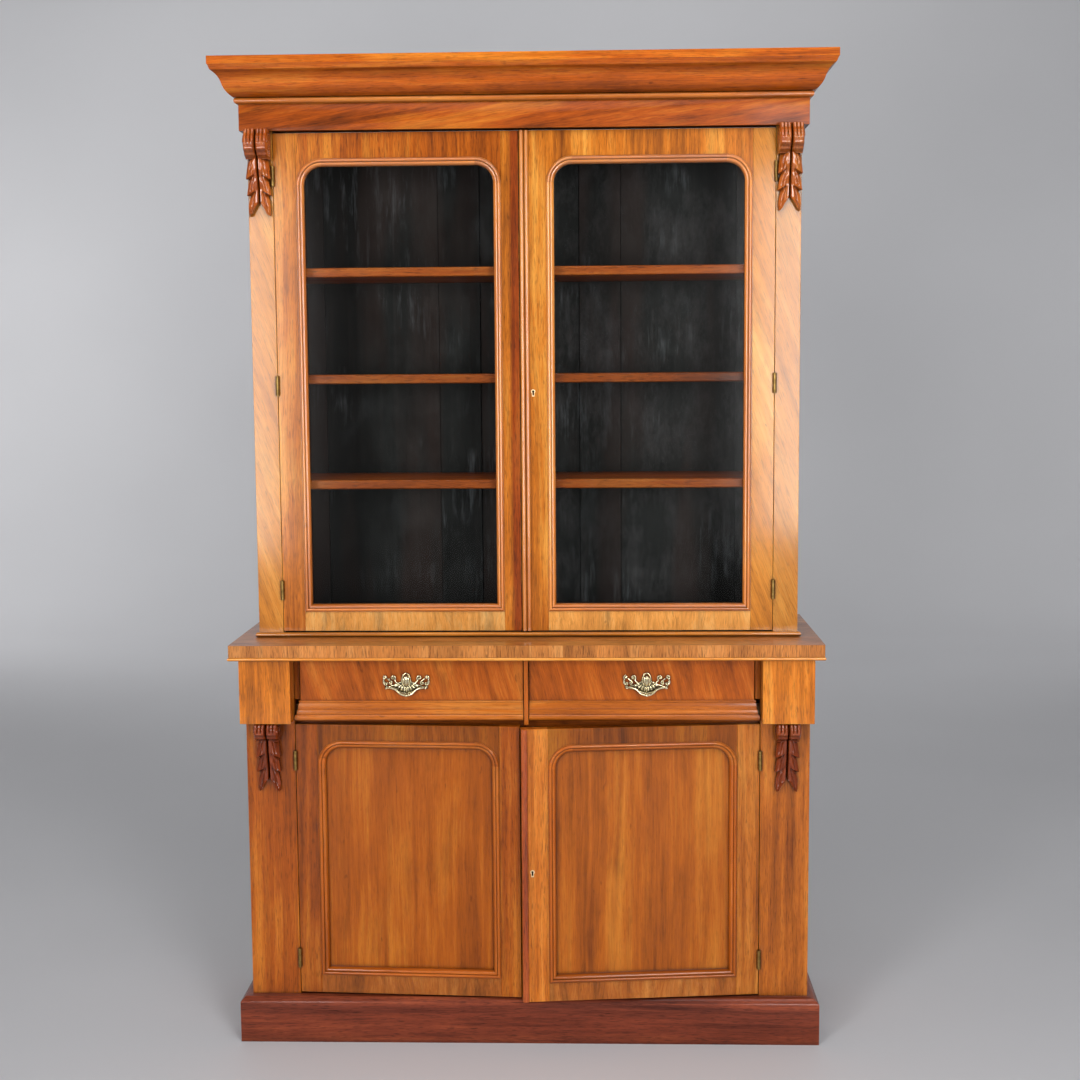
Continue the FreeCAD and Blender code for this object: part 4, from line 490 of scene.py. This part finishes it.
def dress(node, material, way="long", bevel=0.0007, turn=0.0, pick=None, last_first=False):
    """A copy of a CAD node with eased edges and grain along each board. The copy stands for the node.

    way is the grain's axis, or long for each board's longest side. bevel is the width of the eased edges.
    turn is the angle in degrees at which the piece stands about Z. pick gives a (material, way) of its own
    to a board by its number in separate_boards, which also explains last_first.
    """
    pick = pick or {}
    choice = random.Random(node)
    mesh = bpy.data.meshes.new(node + "_dressed")
    piece = bpy.data.objects.new(node + "_dressed", mesh)
    bpy.context.collection.objects.link(piece)
    names = [material] + sorted({name for name, _ in pick.values()} - {material})
    for name in names:
        mesh.materials.append(materials[name])
    whole = bmesh.new()
    back = Matrix.Rotation(math.radians(-turn), 3, "Z")
    grain = whole.verts.layers.float_vector.new("grain")
    tone = whole.faces.layers.float.new("tone")
    marks = whole.faces.layers.float.new("edge")
    side = whole.verts.layers.float.new("side")
    for number, faces in enumerate(separate_boards(frame["nodes"][node].data, last_first)):
        name, board_way = pick.get(number, (material, way))
        board = board_mesh(faces, bevel)
        board_marks = board.faces.layers.float["edge"]
        square = [back @ vert.co for vert in board.verts]
        low = Vector([min(c[axis] for c in square) for axis in range(3)])
        high = Vector([max(c[axis] for c in square) for axis in range(3)])
        axes = grain_axes(high - low, board_way)
        shift = Vector([choice.uniform(-9, 9) for _ in range(3)])
        shade = choice.random()
        middle = (low + high) / 2
        verts = {}
        for vert, place in zip(board.verts, square):
            verts[vert] = whole.verts.new(vert.co)
            local = place - middle
            verts[vert][grain] = Vector([local[axis] for axis in axes]) + shift
            verts[vert][side] = 0.5 + local.x / max(high.x - low.x, 0.001)
        for face in board.faces:
            new = whole.faces.new([verts[vert] for vert in face.verts])
            new[tone] = shade
            new[marks] = face[board_marks]
            new.material_index = names.index(name)
            new.smooth = True
        board.free()
    whole.to_mesh(mesh)
    whole.free()
    mesh.set_sharp_from_angle(angle=math.radians(32))
    ride_for(piece, node)


def ride_for(piece, node):
    """The piece stands for a CAD node, on that node's body."""
    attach(piece, frame["nodes"][node]["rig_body"])
    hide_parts(node)


def node_slots():
    """The material slot of each node by the node's name."""
    return {part["node"]: part["material_slot"] for part in frame["record"]["subparts"]}


def dress_case():
    """Everything that stands still. A picked board has a wood or a grain direction of its own."""
    crown_boards = {number: ("crown", "long") for number in (0, 1, 8)}
    dress("plinth", "mahogany")
    dress("base_sides", "plain", "Z")
    dress("base_bottom", "interior")
    dress("base_back_boards", "pine")
    # the right pilaster takes the lighter copy of the low walnut: painted light
    dress("base_pilasters", "low", "Z", pick={3: ("low_light", "Z")})
    dress("drawer_blocks", "golden", "Z")
    dress("drawer_rail_and_runners", "pine", pick={0: ("low", "X")})
    dress("drawer_divider", "low_mould")
    dress("cupboard_shelf", "interior")
    dress("shelf_battens", "interior")
    dress("waist_top", "bead", pick={2: ("banded", "X")})
    dress("upper_sides", "plain", "Z")
    dress("upper_bottom", "bead", pick={4: ("interior", "X")})
    dress("upper_top", "interior")
    dress("upper_back_frame", "interior")
    dress("upper_back_panels", "interior", "Z")
    dress("upper_pilasters", "pale", "Z")
    dress("bookshelves", "shelf")
    dress("cornice_frieze", "frieze", last_first=True)
    dress("cornice_moulding", "even", bevel=0.0009, pick=crown_boards)
    dress("cornice_dust_board", "pine")


def dress_doors():
    """Doors and drawers. A door frame's board 1 is the bottom rail, 2 the top rail, 3 the right stile."""
    # the left door's meeting stile takes the walnut with a painted shadow beside the astragal
    upper_woods = {"left": ("golden", "plain", "shaded"), "right": ("golden", "golden", "pale")}
    # the right lower door takes lighter copies of the low walnuts: painted light on that side
    lower_wood = {"left": "low", "right": "low_light"}
    panel_wood = {"left": "low_even", "right": "low_fair"}
    degrees_ajar = {"left": -3, "right": 6}
    front_board = {"left": 3, "right": 1}
    for side in ("left", "right"):
        left_stile, top_rail, right_stile = upper_woods[side]
        turn = degrees_ajar[side]
        dress(f"upper_{side}_door_frame", left_stile,
              pick={1: ("burr", "Z"), 2: (top_rail, "Z"), 3: (right_stile, "long")})
        dress(f"upper_{side}_door_moulding", "glossy", bevel=0.0003)
        # the lower doors' top rails take a darker walnut: painted shadow under the drawers
        dress(f"lower_{side}_door_frame", lower_wood[side], turn=turn,
              pick={1: ("low_burr", "Z"), 2: ("low_dark", "Z")})
        dress(f"lower_{side}_door_moulding", "low_mould", bevel=0.0003, turn=turn)
        dress(f"lower_{side}_door_panel", panel_wood[side], "Z", turn=turn)
        dress(f"{side}_drawer_front", "even", bevel=0.0005, pick={front_board[side]: ("drawer", "Z")})
        cast_handle_plate(f"{side}_drawer_handle_plate")
        dress(f"{side}_drawer_box", "pine")
    for storey in ("upper", "lower"):
        dress(f"{storey}_right_door_lock", "lock_brass", bevel=0.0003, pick={0: ("iron", "long")})
    dress("upper_right_door_astragal", "glossy", bevel=0.0003)
    dress("lower_right_door_closing_bead", "carved", bevel=0.0003)


def paint_nodes():
    """Metal and glass keep their CAD shape and take better materials."""
    by_slot = {"glass": "glass", "brass": "brass", "lock_brass": "lock_brass", "bolt_steel": "steel",
               "carved_walnut": "carved", "walnut": "plain"}
    for name, node in frame["nodes"].items():
        if not node.hide_render:
            finish = "hinge_brass" if "hinge" in name else by_slot[slots.get(name, "walnut")]
            node.data.materials.clear()
            node.data.materials.append(materials[finish])


# Carving

def smooth_between(points, place):
    """A height read from (place, height) points, eased between them."""
    if place <= points[0][0]:
        return points[0][1]
    for (start, low), (end, high) in zip(points, points[1:]):
        if place <= end:
            share = (place - start) / (end - start)
            return low + (high - low) * share * share * (3 - 2 * share)
    return points[-1][1]


def add_relief(whole, rows, columns, back, front):
    """A closed piece: a grid of front points, walls behind its rim and a flat back at one y."""
    grid = [[whole.verts.new(front(row / rows, column / columns)) for column in range(columns + 1)]
            for row in range(rows + 1)]
    for row in range(rows):
        for column in range(columns):
            whole.faces.new([grid[row][column], grid[row + 1][column],
                             grid[row + 1][column + 1], grid[row][column + 1]])
    rim = [grid[0][column] for column in range(columns + 1)]
    rim += [grid[row][columns] for row in range(1, rows + 1)]
    rim += [grid[rows][column] for column in range(columns - 1, -1, -1)]
    rim += [grid[row][0] for row in range(rows - 1, 0, -1)]
    rear = [whole.verts.new((vert.co.x, back, vert.co.z)) for vert in rim]
    for number in range(len(rim)):
        after = (number + 1) % len(rim)
        whole.faces.new([rim[number], rim[after], rear[after], rear[number]])
    whole.faces.new(rear)


class Corbel:
    """A carved corbel in millimetres, measured down from its top and out from its back.

    scroll_front and leaf_front give the depth in front of the back at places below the top.
    """

    middle_gap = 1.2        # from the middle line to the scroll's inner side
    side_inset = 1.0        # from the solid's side to the scroll's outer side
    reed_depth = 3.2
    groove_depth = 5.5      # along the middle of the scroll
    side_rounding = 4.5
    leaf_middle_gap = 0.9
    tip_parting = 15.0      # how far the two halves of the leaf part at the tip
    slant = 15.0            # how much higher a lobe lies at the middle line than at its outer end
    neck = 0.74             # a lobe's narrowest width, as a share of the half width
    lobe_lift = 5.5         # how far a lobe's end stands off the leaf
    lap_depth = 3.0         # how deep the next lobe starts below it
    vein_depth = 2.6
    rib_depth = 5.0         # along the middle of the leaf
    least_depth = 2.5

    def __init__(self, height, half_width, scroll, scroll_front, leaf_start, leaf_front, notches):
        self.height = height
        self.half_width = half_width
        self.scroll = scroll
        self.scroll_front = scroll_front
        self.leaf_start = leaf_start
        self.leaf_front = leaf_front
        self.notches = notches

    def scroll_point(self, side, down, across):
        """A point on one half of the scroll: reeds above, a plain bulge below and a groove in the middle.

        down and across run from 0 to 1 over this half, and side is -1 on the left and 1 on the right.
        """
        drop = down * self.scroll
        inner, outer = self.middle_gap, self.half_width - self.side_inset
        out = inner + (outer - inner) * across
        depth = smooth_between(self.scroll_front, drop)
        fade = 1 - smooth_between([(0.38, 0.0), (0.56, 1.0)], down)
        reed = sum(max(0.0, 1 - abs(across - middle) / 0.075) for middle in (0.34, 0.66))
        depth -= self.reed_depth * fade * min(reed, 1)
        depth -= self.groove_depth * max(0.0, 1 - across / 0.16) ** 2
        depth -= self.side_rounding * max(0.0, (across - 0.86) / 0.14) ** 2
        return side * out, depth, -drop

    def leaf_point(self, side, down, across):
        """A point on one half of the leaf: three lobes, each lapping over the next, and a curled tip."""
        start, end = self.leaf_start, self.height
        ends = [start, *self.notches, end]
        drop = start + down * (end - start)
        lobe = 0
        while lobe < 2 and drop > ends[lobe + 1]:
            lobe += 1
        share = (drop - ends[lobe]) / (ends[lobe + 1] - ends[lobe])
        last = lobe == 2
        if last:
            curl = 0.22 * max(0, share - 0.55) ** 1.2
            width = self.half_width * (self.neck + 0.2 * math.sin(min(share * 1.9, 1.35)) - curl)
        else:
            width = self.half_width * (self.neck + 0.26 * share ** 0.7)
        parting = smooth_between([(0.86, 0.0), (1.0, 1.0)], down) ** 1.3
        gap = self.leaf_middle_gap + self.tip_parting * parting
        out = gap + (width - gap) * across
        lean = self.slant * (across - 1) * (1 - smooth_between([(0.9, 0.0), (1.0, 0.55)], down))
        lean *= smooth_between([(0.0, 0.25), (0.12, 1.0)], down)
        crown = 1 - (across - 0.12) ** 2 * 0.85
        depth = smooth_between(self.leaf_front, drop) * (0.42 + 0.58 * crown)
        free = smooth_between([(0.25, 0.0), (0.5, 1.0)], across)
        lift = (0.0 if last else self.lobe_lift) * share ** 2.2 * free
        depth += lift - self.lap_depth * free * max(0.0, 1 - share * 5)
        vein = max(0.0, 1 - abs(across - 0.42 - 0.3 * share) / 0.13)
        depth -= self.vein_depth * vein * math.sin(math.pi * min(max(share, 0), 1)) ** 0.7
        depth -= self.rib_depth * max(0.0, 1 - across / 0.12) ** 1.5
        return side * out, max(depth, self.least_depth), -(drop + lean)


UPPER_CORBEL = Corbel(
    193, 28.0, 66,
    [(0, 50), (8, 52), (20, 59), (32, 61.2), (44, 57.5), (56, 46), (66, 31)],
    60, [(60, 27), (78, 35), (98, 33), (122, 25), (150, 18), (174, 17), (193, 22)], (110, 147))
LOWER_CORBEL = Corbel(
    169, 28.0, 46,
    [(0, 46), (6, 50), (14, 53.4), (24, 53), (34, 46), (46, 29)],
    41, [(41, 24), (56, 30), (80, 29), (105, 23), (130, 17), (152, 16), (169, 20)], (86, 122))
UPPER_CORBEL_TOP = 2.141
LOWER_CORBEL_TOP = 0.776
CORBEL_HALF_SOLID = 0.030


def carve_corbels(node, corbel, top, finish):
    """Both corbels of a node, carved within the boxes that their solids fill."""
    columns = 26
    _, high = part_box(node)
    wall = high.y
    middle = high.x - CORBEL_HALF_SOLID
    mesh = bpy.data.meshes.new(node + "_carved")
    piece = bpy.data.objects.new(node + "_carved", mesh)
    bpy.context.collection.objects.link(piece)
    whole = bmesh.new()

    for centre in (-middle, middle):
        for side in (-1, 1):
            for rows, shape in ((40, corbel.scroll_point), (120, corbel.leaf_point)):
                def front(down, across, centre=centre, side=side, shape=shape):
                    x, depth, z = shape(side, down, across)
                    return centre + x / 1000, wall - depth / 1000, top + z / 1000
                add_relief(whole, rows, columns, wall, front)
        add_volutes(whole, corbel, centre, wall, top)
    bmesh.ops.recalc_face_normals(whole, faces=whole.faces)
    grain = whole.verts.layers.float_vector.new("grain")
    for vert in whole.verts:
        along = Vector((vert.co.z, vert.co.x, vert.co.y))
        vert[grain] = along + Vector((3 if vert.co.x > 0 else 0, 1, 2))
    for face in whole.faces:
        face.smooth = True
    whole.to_mesh(mesh)
    whole.free()
    mesh.set_sharp_from_angle(angle=math.radians(38))
    mesh.materials.append(materials[finish])
    ride_for(piece, node)


def add_volutes(whole, corbel, centre, wall, top):
    """The rolled ends of a scroll: a raised spiral on both sides."""
    steps, winding, thickness = 60, math.pi * 3.6, 0.0019
    radius = corbel.scroll * 0.36 / 1000
    hub_depth = corbel.scroll_front[0][1] - corbel.scroll * 0.30
    hub = Vector((0, wall - hub_depth / 1000, top - corbel.scroll * 0.47 / 1000))
    for side in (-1, 1):
        plane = centre + side * (corbel.half_width - 1.2) / 1000
        path = []
        for step in range(steps + 1):
            turn = step / steps * winding
            reach = radius * (1 - 0.78 * step / steps)
            path.append((Vector((plane, hub.y - reach * math.cos(turn), hub.z + reach * math.sin(turn))),
                         thickness * (1 - 0.45 * step / steps)))
        add_tube(whole, path, 8)


class Brasswork:
    """Raised brass ornament on a drawer front. Places are millimetres across, up and out from a centre."""

    drawer_face = -0.172
    centre_height = 0.853

    def __init__(self, centre):
        self.whole = bmesh.new()
        self.centre = centre

    def at(self, across, up, out):
        """A place in metres."""
        return Vector((self.centre + across / 1000, self.drawer_face - out / 1000,
                       self.centre_height + up / 1000))

    def rod(self, points, sides=8):
        """A rod through (across, up, out, radius) points."""
        path = [(self.at(*point[:3]), point[3] / 1000) for point in points]
        add_tube(self.whole, path, sides)

    def scroll(self, side, centre, radius, start, turn, out=2.6, thick=1.7, ends=0.3, tail=()):
        """A curl that winds in from its rim by turn degrees, after any points of a tail."""
        points = [(side * x, z, out, thick) for x, z in tail]
        for step in range(25):
            share = step / 24
            angle = math.radians(start + turn * share)
            reach = radius * (1 - share * (1 - ends))
            size = thick * (1 - 0.35 * share) if step < 24 else thick
            x, z = centre[0] + reach * math.cos(angle), centre[1] + reach * math.sin(angle)
            points.append((side * x, z, out + 0.9 * share, size))
        self.rod(points)
        self.dome((side * centre[0], centre[1]), radius * 0.36, radius * 0.36, out + 2.4)

    def dome(self, centre, half_width, half_height, rise, base=0.0, ribs=0, around=20, rings=7, lean=0.0):
        """A closed dome over an oval, turned by lean degrees. With ribs it has grooves down its front."""
        cosine, sine = math.cos(math.radians(lean)), math.sin(math.radians(lean))
        loops = []
        for ring in range(rings):
            share = ring / rings
            loop = []
            for step in range(around):
                angle = 2 * math.pi * step / around
                x = half_width * math.cos(angle) * (1 - share)
                z = half_height * math.sin(angle) * (1 - share)
                height = rise * math.sqrt(max(0.0, 1 - (1 - share) ** 2.4))
                if ribs:
                    groove = 0.5 + 0.5 * math.cos(ribs * math.pi * x / half_width)
                    height -= 1.3 * groove * min(1, share * 4)
                loop.append(self.whole.verts.new(self.at(
                    centre[0] + x * cosine - z * sine, centre[1] + x * sine + z * cosine, base + height)))
            loops.append(loop)
        self.close(loops, self.at(centre[0], centre[1], base + rise))

    def close(self, loops, tip):
        """Walls between loops of points, a floor in the first loop and a tip over the last."""
        for loop, following in zip(loops, loops[1:]):
            for step in range(len(loop)):
                after = (step + 1) % len(loop)
                self.whole.faces.new([loop[step], loop[after], following[after], following[step]])
        point = self.whole.verts.new(tip)
        for step in range(len(loops[-1])):
            self.whole.faces.new([loops[-1][step], loops[-1][(step + 1) % len(loops[-1])], point])
        self.whole.faces.new(loops[0][::-1])

    def petal(self, root, tip, half_width, rise):
        """A leaf from its root to its tip, as a narrow dome."""
        middle = ((root[0] + tip[0]) / 2, (root[1] + tip[1]) / 2)
        length = math.hypot(tip[0] - root[0], tip[1] - root[1]) / 2
        lean = math.degrees(math.atan2(tip[1] - root[1], tip[0] - root[0])) - 90
        self.dome(middle, half_width, length, rise, base=0.9, around=16, rings=5, lean=lean)

    def sheet(self, outline, thick):
        """A flat plate with an eased edge, given as its right half from top to bottom."""
        middle, eased = 8, 0.97
        half = [point for point in outline if point[0] > 0]
        points = outline + [(-x, z) for x, z in reversed(half)]
        low = [self.whole.verts.new(self.at(x, z, 0)) for x, z in points]
        high = [self.whole.verts.new(self.at(x, z, thick * 0.7)) for x, z in points]
        top = [self.whole.verts.new(self.at(x * eased, middle + (z - middle) * eased, thick))
               for x, z in points]
        for first, second in ((low, high), (high, top)):
            for number in range(len(points)):
                after = (number + 1) % len(points)
                self.whole.faces.new([first[number], first[after], second[after], second[number]])
        self.whole.faces.new(low[::-1])
        self.whole.faces.new(top)

    def finish(self, node):
        """One piece for the node. What lies low, near the wood, is marked for tarnish and painted shade."""
        lowest, rise, darkest = 1.3, 1.7, 0.95
        bmesh.ops.recalc_face_normals(self.whole, faces=self.whole.faces)
        # how low each point lies, for tarnish and painted shade
        hollow_tarnish_and_shade = self.whole.verts.layers.float.new("hollow_tarnish_and_shade")
        for vert in self.whole.verts:
            out = (self.drawer_face - vert.co.y) * 1000
            vert[hollow_tarnish_and_shade] = min(1.0, max(0.0, 1 - (out - lowest) / rise)) * darkest
        for face in self.whole.faces:
            face.smooth = True
        mesh = bpy.data.meshes.new(node + "_cast")
        self.whole.to_mesh(mesh)
        self.whole.free()
        mesh.set_sharp_from_angle(angle=math.radians(50))
        mesh.materials.append(materials["brass"])
        piece = bpy.data.objects.new(node + "_cast", mesh)
        bpy.context.collection.objects.link(piece)
        ride_for(piece, node)


def cast_handle_plate(node):
    """The pierced plate behind a drawer's bail: curls at both ends, a ribbed boss and a fan of leaves.

    Its two posts go through the drawer front, with a six-sided nut behind it.
    """
    low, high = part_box(node)
    brasswork = Brasswork((low.x + high.x) / 2)
    fan = [(0, 34), (6, 33), (9.5, 29), (11, 22), (12.5, 15), (19, 10), (28, 7), (38, 4.5), (42, 0),
           (36, -3), (26, -5), (17, -9.5), (9, -13), (0, -14.5)]
    brasswork.sheet(fan, 1.6)
    brasswork.dome((0, 18), 9.2, 15.5, 9.5, base=0.8, ribs=4, around=40, rings=12)
    rim = []
    for step in range(33):
        angle = math.radians(-52 + 284 * step / 32)
        rim.append((9.9 * math.cos(angle), 17.5 + 16.2 * math.sin(angle), 2.4, 1.5))
    brasswork.rod(rim)
    for side in (-1, 1):
        brasswork.scroll(side, (49.0, 24.0), 4.8, -60, 400, thick=2.0,
                         tail=((51, 7), (53.5, 12), (53.5, 17)))
        brasswork.scroll(side, (47.0, 9.5), 4.6, 30, -360, thick=2.0, tail=((52, 15),))
        brasswork.scroll(side, (31.0, 23.0), 6.2, -120, -400, thick=2.1,
                         tail=((19, 9), (23, 12.0), (26, 15.5)))
        brasswork.scroll(side, (37.5, 11.0), 4.6, 100, 380, thick=2.0, tail=((43.5, 21), (40, 18.5)))
        upper_rim = ((12, 13, 2.4, 1.4), (18, 10.5, 2.6, 1.5), (27, 6, 2.6, 1.5), (36, 3.5, 2.4, 1.3),
                     (43, 0, 2.2, 1.6))
        lower_rim = ((44, -1, 2.0, 1.3), (36, -3, 2.2, 1.3), (26, -5.5, 2.4, 1.4), (17, -9.5, 2.4, 1.4),
                     (8, -13, 2.4, 1.4), (0, -14.3, 2.4, 1.5))
        for points in (upper_rim, lower_rim):
            brasswork.rod([(side * across, *rest) for across, *rest in points])
        for root, tip, width in (((3, 4), (5, -11), 2.4), ((7, 5), (13, -8.5), 2.6),
                                 ((11, 7), (21, -4), 2.7), ((14, 9.5), (30, 1), 2.6)):
            brasswork.petal((side * root[0], root[1]), (side * tip[0], tip[1]), width, 2.6)
        post = side * 46
        shank = ((-25.5, 2.4), (0, 2.4), (9, 2.3), (10.6, 3.0), (12.2, 3.1), (13.4, 2.2), (13.9, 0.8))
        nut = ((-28.5, 5.4), (-28, 6.0), (-25.5, 6.0), (-25.1, 5.4))
        brasswork.dome((post, 0), 4.8, 4.8, 2.4)
        brasswork.rod([(post, 0, out, radius) for out, radius in shank], 14)
        brasswork.rod([(post, 0, out, radius) for out, radius in nut], 6)
    brasswork.petal((0, 3), (0, -13), 2.2, 3.0)
    brasswork.finish(node)


def add_tube(whole, path, sides):
    """A round rod of changing radius along (point, radius) places, closed at both ends."""
    rings = []
    up = Vector((0.21, 0.35, 0.91))    # slanted, so that no path runs along it
    for number, (point, radius) in enumerate(path):
        before = path[max(number - 1, 0)][0]
        after = path[min(number + 1, len(path) - 1)][0]
        along = (after - before).normalized()
        first = along.cross(up).normalized()
        second = along.cross(first)
        ring = []
        for side in range(sides):
            angle = 2 * math.pi * side / sides
            around = first * math.cos(angle) + second * math.sin(angle)
            ring.append(whole.verts.new(point + around * radius))
        rings.append(ring)
    for ring, following in zip(rings, rings[1:]):
        for side in range(sides):
            after = (side + 1) % sides
            whole.faces.new([ring[side], ring[after], following[after], following[side]])
    whole.faces.new(rings[0][::-1])
    whole.faces.new(rings[-1])


# Room and light

def add_stage():
    """A pale grey floor that sweeps up into a wall, far enough behind to leave the piece's back in view."""
    floor_front, floor_back, sweep, wall_height, half_width, steps = -12, 5.5, 2, 14, 40, 12
    mesh = bpy.data.meshes.new("studio")
    stage = bpy.data.objects.new("studio", mesh)
    bpy.context.collection.objects.link(stage)
    paper = bmesh.new()
    profile = [(floor_front, 0), (floor_back, 0)]
    for step in range(1, steps + 1):
        angle = math.pi / 2 * step / steps
        profile.append((floor_back + sweep * math.sin(angle), sweep - sweep * math.cos(angle)))
    profile.append((floor_back + sweep, wall_height))
    rows = [[paper.verts.new((x, y, z)) for y, z in profile] for x in (-half_width, half_width)]
    for number in range(len(profile) - 1):
        face = paper.faces.new([rows[0][number], rows[1][number], rows[1][number + 1], rows[0][number + 1]])
        face.smooth = True
    paper.to_mesh(mesh)
    paper.free()
    g = Graph("studio_paper")
    cloud = g.noise(g.place(), (0.5, 0.5, 0.5), 2, 0.5)
    colour = g.ramp(cloud, (0.3, srgb(210, 210, 213)), (0.7, srgb(218, 218, 221)))
    mesh.materials.append(g.finish(Base_Color=colour, Roughness=0.55))


def add_world():
    """Soft room light, stronger from behind the piece than from its front."""
    bpy.context.scene.view_settings.view_transform = "Standard"
    world = bpy.data.worlds.new("World")
    bpy.context.scene.world = world
    world.use_nodes = True
    tree = world.node_tree
    direction = tree.nodes.new("ShaderNodeTexCoord").outputs["Generated"]
    split = tree.nodes.new("ShaderNodeSeparateXYZ")
    tree.links.new(direction, split.inputs[0])
    spread = tree.nodes.new("ShaderNodeMapRange")
    tree.links.new(split.outputs["Y"], spread.inputs["Value"])
    for key, value in (("From Min", -1.0), ("From Max", 0.6), ("To Min", 0.05), ("To Max", 0.45)):
        spread.inputs[key].default_value = value
    background = tree.nodes["Background"]
    background.inputs["Color"].default_value = (0.97, 0.98, 1.0, 1)
    tree.links.new(spread.outputs["Result"], background.inputs["Strength"])


LAMPS = (
    # name, place, target, width, height and radiance of the face
    ("SoftboxLeft", (-1.83, -4.1, 1.6), (0, 0, 1.4), 1.0, 1.85, 12.6),
    ("SoftboxRight", (1.42, -4.1, 1.65), (0, 0, 1.4), 1.0, 1.75, 14.0),
    ("BackdropLampLeft", (-4.71, 4.6, 2.29), (-2.84, 7.5, 2.29), 1.02, 2.04, 7.5),
    ("BackdropLampRight", (5.17, 4.77, 1.95), (3.64, 7.5, 1.95), 0.85, 1.7, 4.6),
    ("BackdropLampTop", (0, 3.8, 5.6), (0, 7.5, 2.2), 6.0, 1.0, 3.9),
    ("SoftboxTop", (0.3, -2.4, 4.0), (0, 0, 1.0), 3.0, 1.4, 3.6),
)


def add_lamps():
    """Soft lamps, each with a face that shows one plain level of light."""
    for name, place, target, width, height, radiance in LAMPS:
        data = bpy.data.lights.new(name, "AREA")
        data.shape = "RECTANGLE"
        data.size = width
        data.size_y = height
        data.energy = radiance * math.pi * width * height
        lamp = bpy.data.objects.new(name, data)
        lamp.location = place
        lamp.rotation_euler = (Vector(target) - Vector(place)).to_track_quat("-Z", "Y").to_euler()
        bpy.context.collection.objects.link(lamp)


slots = node_slots()
materials = make_materials()
add_camera()
add_stage()
add_world()
add_lamps()
dress_case()
dress_doors()
carve_corbels("upper_corbels", UPPER_CORBEL, UPPER_CORBEL_TOP, "carved_light")
carve_corbels("base_corbels", LOWER_CORBEL, LOWER_CORBEL_TOP, "carved")
paint_nodes()
